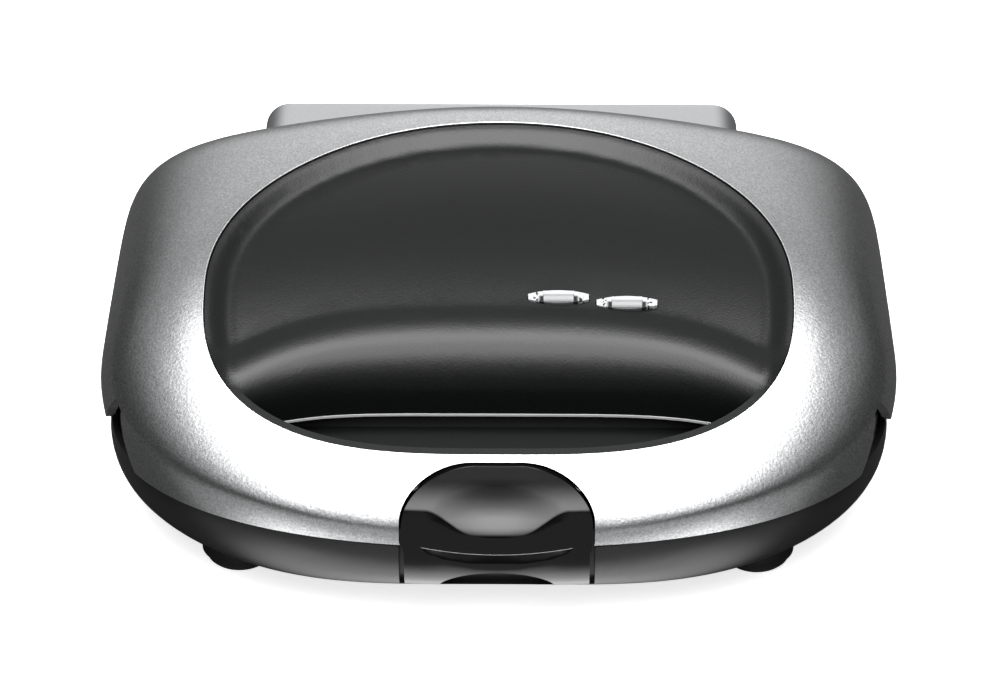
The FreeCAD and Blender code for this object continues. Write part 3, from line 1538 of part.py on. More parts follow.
def make_base_frame():
    top = mm.base_rim_height
    low = mm.lower_plate_bottom
    deck = (top - mm.deck_thickness, top)
    bottom = low - mm.ledge_thickness
    solid, through, seat = frame("BaseFrame", base_reach, mm.base_deck_inset, deck, bottom,
                                 (low, top + mm.cut_overrun))
    half = mm.recess_half_width + mm.recess_wall + mm.clearance
    notch = box("BaseFrameNotch", (-half, half),
                (mm.recess_y - mm.window_depth, mm.recess_y + mm.recess_wall + mm.clearance),
                (deck[0] - mm.cut_overrun, top + mm.cut_overrun))
    sensor = mm.sensor_half_width + mm.sensor_gap
    sensor_cut = box("SensorCut", (-sensor, sensor),
                     (mm.sensor_front_y - mm.sensor_gap, mm.plate_front_y + mm.ledge_reach),
                     (bottom - mm.cut_overrun, top + mm.cut_overrun))
    posts = []
    holes = []
    for name, x, y in base_screw_places():
        post_top = deck[0] if name.endswith("Front") else bottom
        posts.append(rod(name + "BasePost", mm.base_post_radius, (x, y, mm.base_floor),
                         post_top - mm.base_floor, "z"))
        holes.append(rod(name + "BasePostHole", mm.screw_radius + mm.fit_gap, (x, y, mm.base_floor),
                         post_top - mm.base_floor, "z"))
    whole = fuse("BaseFrameWhole", solid, *posts)
    finish_part(cut("BaseFrame", whole, through, seat, notch, sensor_cut, *holes), "base_frame")


def make_lid_frame():
    low = lid_deck_bottom
    ledge_low = low + mm.plate_slab
    ledge_high = ledge_low + mm.ledge_thickness
    deck = (low, low + mm.deck_thickness)
    solid, through, seat = frame("LidFrame", lid_reach, mm.lid_deck_inset, deck, ledge_high,
                                 (low - mm.cut_overrun, ledge_low))
    outer = outline_prism(lid_reach, float(mm.notch_wall_inset), float(low), float(mm.notch_wall_top))
    overrun = float(mm.cut_overrun)
    inner = outline_prism(lid_reach, float(mm.notch_wall_inset + mm.notch_wall_thickness),
                          float(low) - overrun, float(mm.notch_wall_top) + overrun)
    ring = shaped("NotchWallRing", outer.cut(inner))
    under_lid = shaped("NotchWallRoom", dome_solid(float(mm.lid_wall + mm.notch_wall_gap),
                                                   float(lid_edge_height) - overrun))
    keep = box("NotchWallSpan", (-base_half_width, base_half_width),
               (mm.notch_wall_front_y, mm.notch_wall_rear_y), (low, mm.notch_wall_top))
    pieces = [common("NotchWalls", ring, keep, under_lid)]
    holes = []
    y, z = latch_pivot
    for side, sign in (("Left", -1), ("Right", 1)):
        start = -mm.lug_outer_x if sign < 0 else mm.lug_inner_x
        end = start + (mm.lug_outer_x - mm.lug_inner_x)
        pieces.append(rod(side + "LatchLug", mm.lug_radius, (start, y, z), end - start, "x"))
        pieces.append(box(side + "LatchLugNeck", (start, end),
                          (y - mm.lug_neck_half_width, y + mm.lug_neck_half_width), (low, z)))
        for end_name, boss_y in (("Front", mm.lid_boss_front_y), ("Rear", lid_boss_rear_y)):
            x = lid_boss_x * sign
            name = side + end_name + "Frame"
            pieces.append(rod(name + "Boss", mm.frame_boss_radius, (x, boss_y, low),
                              mm.frame_boss_top - low, "z"))
            holes.append(rod(name + "BossHole", mm.screw_radius + mm.clearance, (x, boss_y, low),
                             mm.frame_boss_top - low, "z"))
            holes.append(rod(name + "Counterbore", mm.screw_head_radius + mm.clearance,
                             (x, boss_y, low), mm.counterbore_depth, "z"))
        for end_name, post_y in (("Front", mm.shield_post_front_y), ("Rear", shield_post_rear_y)):
            pieces.append(rod(side + end_name + "ShieldPost", mm.shield_post_radius,
                              (shield_post_x * sign, post_y, ledge_low),
                              mm.upper_shield_bottom - ledge_low, "z"))
    holes.append(rod("LugBore", mm.latch_pin_radius + mm.fit_gap, (-mm.lug_outer_x, y, z),
                     2 * mm.lug_outer_x, "x"))
    edge = box("LidFrameFrontRelief", (-mm.recess_half_width, mm.recess_half_width),
               (mm.recess_y - mm.window_depth, mm.lid_deck_front_y), (low, mm.frame_boss_top))
    whole = cut("LidFrameOpened", solid, through, seat, edge)
    finish_part(cut("LidFrame", fuse("LidFrameWhole", whole, *pieces), *holes), "lid_frame")


HEATING_SIZES = {
    "upper_shield_bottom": 50,
    "lower_shield_bottom": 12.8,
    "shield_thickness": 0.5,
    "lower_shield_inset": 8,
    "upper_shield_overhang": 1,
    "shield_front_y": -43,
    "lower_shield_rear_inset": 7,
    "upper_shield_rear_inset": 2,
    "shield_corner": 18,
    "shield_foot_radius": 3,
    "shield_foot_inset": 24,
    "shield_foot_front_y": -30,
    "shield_foot_rear_depth": 23,
    "element_radius": 3.2,
    "element_side_border": 29,
    "element_front_y": -38,
    "element_rear_border": 16,
    "element_corner": 16,
    "element_gap": 0.2,
    "terminal_x": 18,
    "terminal_end_depth": 12,
    "clamp_half_width": 6,
    "clamp_half_length": 5,
    "clamp_front_y": -14,
    "clamp_rear_y": 14,
    "thermostat_radius": 7,
    "thermostat_height": 8,
    "thermostat_y": -54,
    "fuse_x": 30,
    "fuse_y": 22,
    "fuse_half_length": 9,
    "fuse_half_width": 3.5,
    "fuse_height": 5,
    "clip_half_width": 6,
    "clip_thickness": 0.5,
    "clip_reach": 3,
    "clip_seat": 4.5,
    "lid_deck_front_y": -97.0,
}
add_sizes("Heating", HEATING_SIZES)
lower_shield_half_width = plate_half_width - mm.lower_shield_inset
upper_shield_half_width = plate_half_width + mm.upper_shield_overhang
lower_shield_rear_y = plate_rear_y - mm.lower_shield_rear_inset
upper_shield_rear_y = plate_rear_y - mm.upper_shield_rear_inset
shield_foot_x = plate_half_width - mm.shield_foot_inset
shield_foot_rear_y = plate_rear_y - mm.shield_foot_rear_depth
element_half_width = plate_half_width - mm.element_side_border
element_rear_y = plate_rear_y - mm.element_rear_border
terminal_end_y = lid_rear_y - mm.terminal_end_depth

make_base_frame()
make_lid_frame()


def triangle_points(inset):
    """Corners of the two sandwich pockets in the right half, drawn in by an inset."""
    x0, x1 = mm.pocket_inner_x + inset, pocket_outer_x - inset
    y0, y1 = mm.pocket_front_y + inset, pocket_rear_y - inset
    step = (mm.pocket_ridge / 2 + inset) * mm.ridge_slope_share
    return [
        [(x0 + step, y0), (x1, y0), (x1, y1 - step)],
        [(x0, y0 + step), (x1 - step, y1), (x0, y1)],
    ]


def make_lower_plate():
    """A plate with four triangular pockets, and a lug in front that the thermostat feels."""
    low = mm.lower_plate_bottom
    x = plate_half_width
    body = document.addObject("PartDesign::Body", "LowerPlateBody")
    outline = new_sketch(body, "PlateOutline", "XY_Plane", low)
    draw_rectangle(outline, (-x, x), (mm.plate_front_y, plate_rear_y), mm.plate_corner)
    add_feature(body, "Pad", "PlateSlab", outline, Length=mm.plate_slab)
    lug = new_sketch(body, "SensorLugOutline", "XY_Plane", low)
    half = mm.sensor_half_width
    draw_rectangle(lug, (-half, half), (mm.sensor_front_y, mm.plate_front_y + mm.plate_gap))
    add_feature(body, "Pad", "SensorLug", lug, Length=mm.plate_slab)
    for number, (wall, hollow) in enumerate(zip(triangle_points(-mm.pocket_wall), triangle_points(no_gap))):
        for side, sign in (("Left", -1), ("Right", 1)):
            name = side + str(number)
            outer = new_sketch(body, name + "PocketWall", "XY_Plane", low)
            tie_polygon(outer, [(x * sign, y) for x, y in wall])
            add_feature(body, "Pad", name + "PocketPad", outer, TaperAngle=-mm.pocket_draft,
                        Length=mm.pocket_depth - mm.plate_slab + mm.pocket_wall).Reversed = True
            inner = new_sketch(body, name + "PocketMouth", "XY_Plane", low + mm.plate_slab)
            tie_polygon(inner, [(x * sign, y) for x, y in hollow])
            add_feature(body, "Pocket", name + "Pocket", inner, Length=mm.pocket_depth,
                        TaperAngle=-mm.pocket_draft)
    finish_part(body, "lower_plate")
    return body


lower_plate = make_lower_plate()


def make_upper_plate():
    """The lower plate's form without its lug, turned over above the parting level."""
    slot = mm.sensor_half_width + mm.sensor_gap
    low = mm.lower_plate_bottom - mm.cut_overrun
    lug = box("UpperLugCut", (-slot, slot), (mm.sensor_front_y - mm.cut_overrun, mm.plate_front_y),
              (low, mm.lower_plate_bottom + mm.plate_slab + mm.cut_overrun))
    plain = cut("PlainPlate", lower_plate, lug)
    level = (mm.lower_plate_bottom + mm.plate_slab + lid_deck_bottom) / 2
    finish_part(mirrored_z("UpperPlate", plain, level), "upper_plate")


make_upper_plate()

# Heating elements with their clamps and shields.


def heating_element(name, z):
    """A tube bent into a loop whose two ends run out to terminals at the rear."""
    radius, half, corner = mm.element_radius, element_half_width, mm.element_corner
    front, rear = mm.element_front_y, element_rear_y
    pieces = [rod(name + "Front", radius, (-half + corner, front, z), 2 * half - 2 * corner, "x")]
    for side, sign, first, second in (("Left", -1, 180, 90), ("Right", 1, 270, 0)):
        x = half * sign
        pieces.append(rod(name + side + "Run", radius, (x, front + corner, z),
                          rear - front - 2 * corner, "y"))
        for end, y, angle in (("Front", front + corner, first), ("Rear", rear - corner, second)):
            bend = document.addObject("Part::Torus", name + side + end + "Bend")
            bind(bend, Radius1=corner, Radius2=radius)
            bend.Angle3 = 90
            bend.Placement = FreeCAD.Placement(Vector(), FreeCAD.Rotation(Vector(0, 0, 1), angle))
            pieces.append(place(bend, x - corner * sign, y, z))
        inner = mm.terminal_x * sign
        start = x + corner if sign < 0 else inner
        length = half - corner - mm.terminal_x
        pieces.append(rod(name + side + "Return", radius, (start, rear, z), length, "x"))
        joint = document.addObject("Part::Sphere", name + side + "Turn")
        bind(joint, Radius=radius)
        pieces.append(place(joint, inner, rear, z))
        pieces.append(rod(name + side + "Terminal", radius, (inner, rear, z),
                          terminal_end_y - rear, "y"))
    return fuse(name, *pieces)


def clamps(name, element_z, seat_z, skirt_z):
    """Four saddles that hold an element's side runs against its plate."""
    saddles = []
    low, high = sorted((seat_z, skirt_z), key=float)
    for side, sign in (("Left", -1), ("Right", 1)):
        for end, y in (("Front", mm.clamp_front_y), ("Rear", mm.clamp_rear_y)):
            x = element_half_width * sign
            label = name + side + end
            block = box(label + "Block", (x - mm.clamp_half_width, x + mm.clamp_half_width),
                        (y - mm.clamp_half_length, y + mm.clamp_half_length), (low, high))
            bore = rod(label + "Bore", mm.element_radius + mm.fit_gap,
                       (x, y - mm.clamp_half_length, element_z), 2 * mm.clamp_half_length, "y")
            saddles.append(cut(label, block, bore))
    return group(name, *saddles)


def make_heating():
    bottom = mm.lower_plate_bottom + mm.plate_slab - mm.pocket_depth - mm.pocket_wall
    lower_z = bottom - mm.element_radius - mm.element_gap
    finish_part(heating_element("LowerElement", lower_z), "lower_element")
    shield_top = mm.lower_shield_bottom + mm.shield_thickness
    finish_part(clamps("LowerClamps", lower_z, bottom, shield_top), "lower_element_clamps")
    top = lid_deck_bottom + mm.pocket_depth + mm.pocket_wall
    upper_z = top + mm.element_radius + mm.element_gap
    finish_part(heating_element("UpperElement", upper_z), "upper_element")
    finish_part(clamps("UpperClamps", upper_z, top, mm.upper_shield_bottom), "upper_element_clamps")
    return bottom, top


def make_shields():
    x, front = lower_shield_half_width, mm.shield_front_y
    low = mm.lower_shield_bottom
    tray = slab("LowerShieldSheet", (-x, x), (front, lower_shield_rear_y),
                (low, low + mm.shield_thickness), mm.shield_corner)
    feet = [rod(name + "ShieldFoot", mm.shield_foot_radius, (foot_x, y, mm.base_floor),
                low - mm.base_floor, "z")
            for name, foot_x, y in (("LeftFront", -shield_foot_x, mm.shield_foot_front_y),
                                    ("LeftRear", -shield_foot_x, shield_foot_rear_y),
                                    ("RightFront", shield_foot_x, mm.shield_foot_front_y),
                                    ("RightRear", shield_foot_x, shield_foot_rear_y))]
    finish_part(fuse("LowerHeatShield", tray, *feet), "lower_heat_shield")
    x, low = upper_shield_half_width, mm.upper_shield_bottom
    finish_part(slab("UpperHeatShield", (-x, x), (front, upper_shield_rear_y),
                     (low, low + mm.shield_thickness), mm.shield_corner), "upper_heat_shield")


lower_seat, upper_seat = make_heating()
make_shields()

# Small fittings: thermostat, fuse, clips, screws, terminal block and leads.

FITTING_SIZES = {
    "terminal_way_count": 3,
    "terminal_left_x": 12,
    "terminal_right_x": 36,
    "terminal_front_depth": 10.8,
    "terminal_rear_depth": 4.8,
    "terminal_bottom": 17,
    "terminal_bore_radius": 1.8,
    "terminal_bore_height": 23,
    "lead_end_x": 29.8,
    "lid_lead_start_x": 30.4,
    "lid_lead_end_depth": 10,
    "lid_lead_end_x": 46,
}
add_sizes("Small fittings", FITTING_SIZES)
terminal_front_y = lid_rear_y - mm.terminal_front_depth
terminal_rear_y = lid_rear_y - mm.terminal_rear_depth
lid_lead_end_y = lid_rear_y - mm.lid_lead_end_depth


def make_fittings():
    low = mm.lower_plate_bottom - mm.thermostat_height
    finish_part(rod("Thermostat", mm.thermostat_radius, (0, mm.thermostat_y, low),
                    mm.thermostat_height, "z"), "thermostat")
    finish_part(box("ThermalFuse", (mm.fuse_x - mm.fuse_half_length, mm.fuse_x + mm.fuse_half_length),
                    (mm.fuse_y - mm.fuse_half_width, mm.fuse_y + mm.fuse_half_width),
                    (upper_seat, upper_seat + mm.fuse_height)), "thermal_fuse")
    half, reach, seat = mm.clip_half_width, mm.clip_reach, mm.clip_seat
    span = (lid_deck_bottom - mm.clip_thickness, lid_deck_bottom)
    front, rear = mm.plate_front_y, plate_rear_y
    finish_part(group("PlateClips", box("FrontClip", (-half, half), (front - seat, front + reach), span),
                      box("RearClip", (-half, half), (rear - reach, rear + seat), span)),
                "upper_plate_clips")
    block = box("TerminalBody", (mm.terminal_left_x, mm.terminal_right_x),
                (terminal_front_y, terminal_rear_y),
                (mm.terminal_bottom, mm.base_rim_height - mm.deck_thickness))
    ways = int(float(mm.terminal_way_count))
    pitch = (mm.terminal_right_x - mm.terminal_left_x) / ways
    bores = [rod("TerminalBore%d" % number, mm.terminal_bore_radius,
                 (mm.terminal_left_x + pitch * (number + 0.5), terminal_front_y,
                  mm.terminal_bore_height), terminal_rear_y - terminal_front_y, "y")
             for number in range(ways)]
    finish_part(cut("TerminalBlock", block, *bores), "terminal_block")


def make_screws():
    head = mm.screw_head_height
    screws = []
    for side, sign in (("Left", -1), ("Right", 1)):
        for end, y in (("Front", mm.lid_boss_front_y), ("Rear", lid_boss_rear_y)):
            z = lid_deck_bottom + mm.counterbore_depth - head
            length = mm.lid_boss_bottom + mm.lid_screw_depth - z - head - mm.clearance
            screws.append(screw(side + end + "LidScrew", lid_boss_x * sign, y, z, length, "z"))
    finish_part(group("LidScrews", *screws), "lid_screws")
    screws = [screw(name + "BaseScrew", x, y, mm.base_bottom - head, mm.base_screw_length, "z")
              for name, x, y in base_screw_places()]
    finish_part(group("BaseScrews", *screws), "base_screws")


def lead(name, points):
    """A round lead through a list of points, with a ball at each bend."""
    radius = float(mm.lead_radius)
    spots = [Vector(*[float(item) for item in point]) for point in points]
    pieces = [Part.makeSphere(radius, spot) for spot in spots[1:-1]]
    for start, end in zip(spots, spots[1:]):
        run = end - start
        pieces.append(Part.makeCylinder(radius, run.Length, start, run))
    return shaped(name, pieces[0].fuse(pieces[1:]))


def make_leads():
    rear = mm.outline_centre_y + base_rear_reach
    axis = (hinge_y, mm.hinge_z)
    inside = terminal_rear_y + mm.clearance
    points = [(mm.lead_x, inside, mm.terminal_bore_height),
              (mm.lead_x, rear - mm.base_wall, mm.lead_wall_z), (mm.lead_x, rear, mm.lead_wall_z),
              (mm.lead_x, *axis), (mm.lead_end_x, *axis)]
    finish_part(lead("SupplyLead", points), "supply_lead")
    wall = mm.outline_centre_y + lid_rear_reach
    points = [(mm.lid_lead_start_x, *axis), (mm.lid_lead_x, *axis),
              (mm.lid_lead_x, hinge_y, mm.lid_lead_z), (mm.lid_lead_x, wall, mm.lid_lead_z),
              (mm.lid_lead_end_x, lid_lead_end_y, mm.lid_lead_z)]
    finish_part(lead("LidLead", points), "lid_lead")


make_fittings()
make_screws()
make_leads()

# Check every object, then write each sub-part.

document.recompute()
broken = [item.Name for item in document.Objects
          if "Invalid" in item.State or "Error" in item.State]
if broken:
    raise RuntimeError("objects that did not build: " + ", ".join(broken))
for item in parts:
    if item.Shape.isNull() or not item.Shape.isValid() or not item.Shape.Solids:
        raise RuntimeError("shape that did not build: " + item.Label)
os.makedirs("parts", exist_ok=True)
for item in parts:
    item.Shape.exportStep("parts/%s.step" % item.Label)
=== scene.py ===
import math
import bpy
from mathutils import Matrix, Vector


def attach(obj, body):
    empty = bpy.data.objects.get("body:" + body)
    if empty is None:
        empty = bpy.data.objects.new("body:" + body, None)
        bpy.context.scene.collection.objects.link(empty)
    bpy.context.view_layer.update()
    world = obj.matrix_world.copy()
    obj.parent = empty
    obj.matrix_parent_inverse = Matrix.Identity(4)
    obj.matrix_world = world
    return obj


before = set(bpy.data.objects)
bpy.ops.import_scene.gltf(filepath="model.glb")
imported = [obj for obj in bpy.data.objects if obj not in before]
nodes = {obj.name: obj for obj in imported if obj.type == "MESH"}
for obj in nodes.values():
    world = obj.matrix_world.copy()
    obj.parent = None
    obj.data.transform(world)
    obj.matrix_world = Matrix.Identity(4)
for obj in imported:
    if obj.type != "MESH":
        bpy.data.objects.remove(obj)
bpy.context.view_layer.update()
scene = bpy.context.scene


# Base shell, base frame, lid frame and cord bushing.
# Black plastic mouldings with the fine satin texture of a spark-eroded tool. The frames screw into
# the shells from inside, and the bushing is pressed into the rear wall.

class Wire:
    """An output socket in a Python expression: each operator adds a Math node."""

    def __init__(self, shading, socket):
        self.shading = shading
        self.socket = socket

    def math(self, operation, *others):
        return self.shading.node("Math", {"operation": operation},
                                 dict(enumerate((self, *others))))

    def __add__(self, other):
        return self.math("ADD", other)

    def __radd__(self, other):
        return self + other

    def __sub__(self, other):
        return self.math("SUBTRACT", other)

    def __rsub__(self, other):
        return self * -1 + other

    def __mul__(self, other):
        return self.math("MULTIPLY", other)

    def __rmul__(self, other):
        return self * other

    def __pow__(self, other):
        return self.math("POWER", other)

    def __abs__(self):
        return self.math("ABSOLUTE")

    def at_least(self, other):
        return self.math("MAXIMUM", other)

    def at_most(self, other):
        return self.math("MINIMUM", other)

    def eased(self, start, end):
        """0 up to start and 1 from end on, or the other way down where end is the lower one."""
        return self.shading.node("MapRange", {"interpolation_type": "SMOOTHSTEP"},
                                 {"Value": self, "From Min": start, "From Max": end}, "Result")


class Shading:
    """The shader nodes of one material, or of the sky."""

    def __init__(self, tree, coordinates):
        self.tree = tree
        self.point = self.node("TexCoord", output=coordinates)

    def fill(self, node, sockets):
        """Give the sockets of a node their plain values, or their links."""
        for name, item in sockets.items():
            if isinstance(item, Wire):
                self.tree.links.new(item.socket, node.inputs[name])
            else:
                node.inputs[name].default_value = item

    def node(self, kind, settings=None, sockets=None, output=0):
        """Add a node of a type: first its settings, then the values or links of its sockets."""
        added = self.tree.nodes.new("ShaderNode" + kind)
        for name, setting in (settings or {}).items():
            setattr(added, name, setting)
        self.fill(added, sockets or {})
        return Wire(self, added.outputs[output])

    def axis(self, letter):
        """One coordinate of the point, in metres on a piece."""
        return self.node("SeparateXYZ", sockets={0: self.point}, output=letter)


class Finish(Shading):
    """A material with one Principled shader."""

    def __init__(self, name):
        self.material = bpy.data.materials.new(name)
        self.material.use_nodes = True
        super().__init__(self.material.node_tree, "Object")
        self.shader = self.tree.nodes["Principled BSDF"]

    def set(self, **inputs):
        """Set inputs of the shader, with _ for each space in their names."""
        self.fill(self.shader, {name.replace("_", " "): item for name, item in inputs.items()})
        return self

    def noise(self, scale, detail, stretch=(1, 1, 1)):
        place = self.node("Mapping", sockets={"Vector": self.point, "Scale": stretch})
        return self.node("TexNoise", sockets={"Vector": place, "Scale": scale, "Detail": detail},
                         output="Fac")

    def colours(self, share, first, second):
        """The first colour where share is 0, and the second where it is 1."""
        return self.node("Mix", {"data_type": "RGBA"},
                         {"Factor": share, "A": (*first, 1), "B": (*second, 1)}, "Result")

    def bump(self, height, depth, strength=1.0):
        return self.node("Bump", sockets={"Height": height, "Distance": depth,
                                          "Strength": strength}, output="Normal")

    def on(self, *names):
        """Give this finish to CAD nodes."""
        for name in names:
            slots = nodes[name].data.materials
            slots.clear()
            slots.append(self.material)


def grained(name, texture, dark, light, relief=None, **inputs):
    """A fine grain that goes from dark to light, and stands up where it has a relief.

    texture is the scale, the detail and the stretch of the grain, and relief is the depth in
    metres and the strength of its bump.
    """
    finish = Finish(name)
    finish.grain = finish.noise(*texture)
    if relief:
        finish.set(Normal=finish.bump(finish.grain, *relief))
    return finish.set(Base_Color=finish.colours(finish.grain, dark, light), **inputs)


grained("BaseBlack", texture=(1800, 3), dark=(0.014, 0.014, 0.015), light=(0.024, 0.024, 0.025),
        relief=(0.00005, 0.4), Roughness=0.3).on(
    "base_shell", "base_frame", "lid_frame", "cord_gland")


# Four feet under the base.
# Buttons of black rubber, dull and a little dusty. Each has a stem that is pushed into a hole in
# the base shell.

grained("FootRubber", texture=(500, 4), dark=(0.02, 0.02, 0.02), light=(0.04, 0.04, 0.04),
        relief=(0.0001, 0.4), Roughness=0.75).on("rubber_feet")


# Thermostat, thermal fuse, terminal block and lamp holder.
# Off-white ceramic and heat-resistant plastic with a slight speckle. The first two touch the
# plates that they guard, and the others are fixed under the base's deck and the panel.

grained("Ceramic", texture=(700, 3), dark=(0.66, 0.64, 0.58), light=(0.80, 0.79, 0.73),
        Roughness=0.55).on("lamp_holder", "thermal_fuse", "thermostat", "terminal_block")


# Supply lead and lid lead.
# Wires in a woven glass sleeve. They run from the terminal block into the lid, and are parted on
# the hinge's axis so that the lid can turn.

WOVEN = (1, 1, 0.4)

grained("WovenSleeve", texture=(1600, 2, WOVEN), dark=(0.58, 0.56, 0.48),
        light=(0.78, 0.76, 0.69), relief=(0.0002, 0.6), Roughness=0.8).on(
    "supply_lead", "lid_lead")


# Screws, hinge pins, latch pin, latch spring, latch catch and plate clips.
# Small parts of zinc-plated steel, turned, wound or pressed, with a faint grain from that work.

SMOOTHER, ROUGHER = 0.05, 0.08


def metal(name, dark, light, roughness, stretch=(1, 1, 1), metallic=1.0):
    """Bare metal whose grain is stretched along the way it was rolled or drawn."""
    finish = grained(name, (900, 4, stretch), dark, light, relief=(0.00003, 0.4),
                     Metallic=metallic)
    return finish.set(Roughness=finish.grain * (SMOOTHER + ROUGHER) + (roughness - SMOOTHER))


metal("PlatedSteel", dark=(0.5, 0.5, 0.5), light=(0.72, 0.72, 0.72), roughness=0.3).on(
    "hinge_pins", "latch_pin", "latch_spring", "latch_catch", "cover_screws", "lid_screws",
    "base_screws", "upper_plate_clips")


# Two heat shields.
# Bright sheet steel with the fine lines of rolling. The lower one stands on four feet in the
# base, and the upper one lies over its element, on the clamps.

ROLLED = (0.08, 1, 1)

metal("ShieldSteel", dark=(0.45, 0.45, 0.44), light=(0.66, 0.66, 0.65), roughness=0.34,
      stretch=ROLLED).on("upper_heat_shield", "lower_heat_shield")


# Two heating elements and their eight clamps.
# The elements are bent from steel tube, browned by heat. The clamps are saddles of die-cast
# aluminium, which hold them against the plates.

metal("ElementSheath", dark=(0.16, 0.14, 0.13), light=(0.34, 0.31, 0.28), roughness=0.45).on(
    "upper_element", "lower_element")
metal("CastAluminium", dark=(0.42, 0.42, 0.42), light=(0.6, 0.6, 0.6), roughness=0.5).on(
    "upper_element_clamps", "lower_element_clamps")


# Two plates with four triangle pockets each.
# Die-cast aluminium under a dark non-stick coating, which is sprayed on in fine flecks. They
# lie on ledges of the frames, and clips hold the upper one.

def flecked(name, flecks, texture, dark, light, relief, **inputs):
    """A sprayed coat: each of its flecks has its own shade, over a fine relief."""
    finish = Finish(name)
    shade = finish.node("TexVoronoi", sockets={"Vector": finish.point, "Scale": flecks},
                        output="Color")
    return finish.set(Base_Color=finish.colours(shade, dark, light),
                      Normal=finish.bump(finish.noise(*texture), *relief), **inputs)


flecked("PlateCoating", flecks=900, texture=(1200, 3), dark=(0.02, 0.02, 0.021),
        light=(0.05, 0.05, 0.052), relief=(0.00005, 0.5), Metallic=0.2, Roughness=0.42).on(
    "upper_plate", "lower_plate")


# Hinge cover behind the lid.
# A hollow moulding in light silver plastic, smoother than the lid. Two screws hold it to the
# lid, and it turns on the two hinge pins.

grained("CoverPaint", texture=(900, 3), dark=(0.50, 0.51, 0.52), light=(0.58, 0.59, 0.60),
        relief=(0.00003, 0.3), Metallic=0.9, Roughness=0.32).on("hinge_cover")


# Lid shell.
# Moulded plastic in silver paint: fine metal flakes under a thin clear coat, slightly pebbled.
# Four screws from below hold it to the lid frame.

flecked("SilverPaint", flecks=2400, texture=(1100, 3), dark=(0.40, 0.405, 0.41),
        light=(0.70, 0.71, 0.72), relief=(0.0001, 0.55), Metallic=1.0, Roughness=0.30,
        Coat_Weight=0.1, Coat_Roughness=0.15).on("lid_shell")


# Rim bead, a painted highlight along the inner edge of the lid's opening.
# A fine tube in a bright metal colour, laid on the shell along the opening, is painted light on
# the edge of the silver-painted moulding. The opening is a rounded oval with a fuller front half.

TUBE_SIDES = 8
BEAD_POINTS, BEAD_RADIUS = 360, 0.00028
BEAD_OUTWARD, BEAD_SUNK = BEAD_RADIUS * 0.5, BEAD_RADIUS * 0.8
OPENING_HALF, OPENING_MIDDLE = 0.0887, -0.025
OPENING_FRONT, FRONT_POWER = 0.0612, 2.9
OPENING_REAR, REAR_POWER = 0.0745, 2.08
OVER_LID = Vector((0, OPENING_MIDDLE, 0.1))
UP = Vector((0, 0, 1))


def ring(centre, radius, first, second):
    """Points round a centre, from the first direction towards the second."""
    turns = [2 * math.pi * side / TUBE_SIDES for side in range(TUBE_SIDES)]
    return [centre + radius * (first * math.cos(turn) + second * math.sin(turn))
            for turn in turns]


def tube(name, rings, closed, finish):
    """A fine tube through rings of points: a loop, or a thread with capped ends."""
    sides = range(TUBE_SIDES)
    starts = range(0, TUBE_SIDES * len(rings), TUBE_SIDES)
    following = [*starts[1:], starts[0]] if closed else starts[1:]
    faces = []
    for here, there in zip(starts, following):
        for side in sides:
            beside = (side + 1) % TUBE_SIDES
            faces.append([here + side, there + side, there + beside, here + beside])
    if not closed:
        faces.append([starts[0] + side for side in sides])
        faces.append([starts[-1] + side for side in reversed(sides)])
    mesh = bpy.data.meshes.new(name)
    mesh.from_pydata([tuple(point) for points in rings for point in points], [], faces)
    for face in mesh.polygons:
        face.use_smooth = True
    mesh.materials.append(finish.material)
    piece = bpy.data.objects.new(name, mesh)
    scene.collection.objects.link(piece)
    return piece


bead_rings = []
for number in range(BEAD_POINTS):
    angle = 2 * math.pi * number / BEAD_POINTS
    outward = Vector((math.cos(angle), math.sin(angle), 0))
    in_front = outward.y < 0
    reach, power = (OPENING_FRONT, FRONT_POWER) if in_front else (OPENING_REAR, REAR_POWER)
    total = abs(outward.x / OPENING_HALF) ** power + abs(outward.y / reach) ** power
    spot = OVER_LID + outward * (total ** (-1 / power) + BEAD_OUTWARD)
    surface = nodes["lid_shell"].ray_cast(spot, -UP)[1]
    bead_rings.append(ring(surface - UP * BEAD_SUNK, BEAD_RADIUS, outward, UP))
# Painted highlight: a bright metal colour for the light caught by the rim's edge.
rim_highlight_paint = grained("PolishedEdge", texture=(1200, 3), dark=(0.84, 0.85, 0.86),
                 light=(0.95, 0.95, 0.96), Metallic=1.0, Roughness=0.35)
bead = tube("RimBead", bead_rings, True, rim_highlight_paint)
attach(bead, "lid")


# Inset panel with the rolled handle.
# One moulding in satin black plastic, set into the lid's opening, with a dry fine texture.

grained("PanelBlack", texture=(1500, 3), dark=(0.003, 0.0034, 0.0033),
        light=(0.006, 0.0066, 0.0064), relief=(0.00008, 0.5), Roughness=0.28, IOR=1.42).on(
    "lid_panel")


# Finger recess under the handle.
# A separate black moulding, finer and more matt than the panel, fixed behind it.

grained("RecessBlack", texture=(2000, 3), dark=(0.010, 0.0105, 0.0105),
        light=(0.018, 0.019, 0.019), relief=(0.00006, 0.5), Roughness=0.5, IOR=1.2).on(
    "finger_recess")


# Trim strip along the lower edge of the handle.
# A thin bright strip, brushed along its length and glued under the roll.

BRUSHED = (0.1, 1, 1)

metal("BrightTrim", dark=(0.82, 0.82, 0.83), light=(0.94, 0.94, 0.95), roughness=0.45,
      stretch=BRUSHED, metallic=0.35).on("handle_trim")


# Two neon lamps.
# Small glass tubes that lie in bores of the lamp holder, each under its lens.

grained("NeonGlass", texture=(300, 2), dark=(0.85, 0.8, 0.74), light=(0.95, 0.92, 0.88),
        Roughness=0.1, Transmission_Weight=0.6).on("neon_lamps")
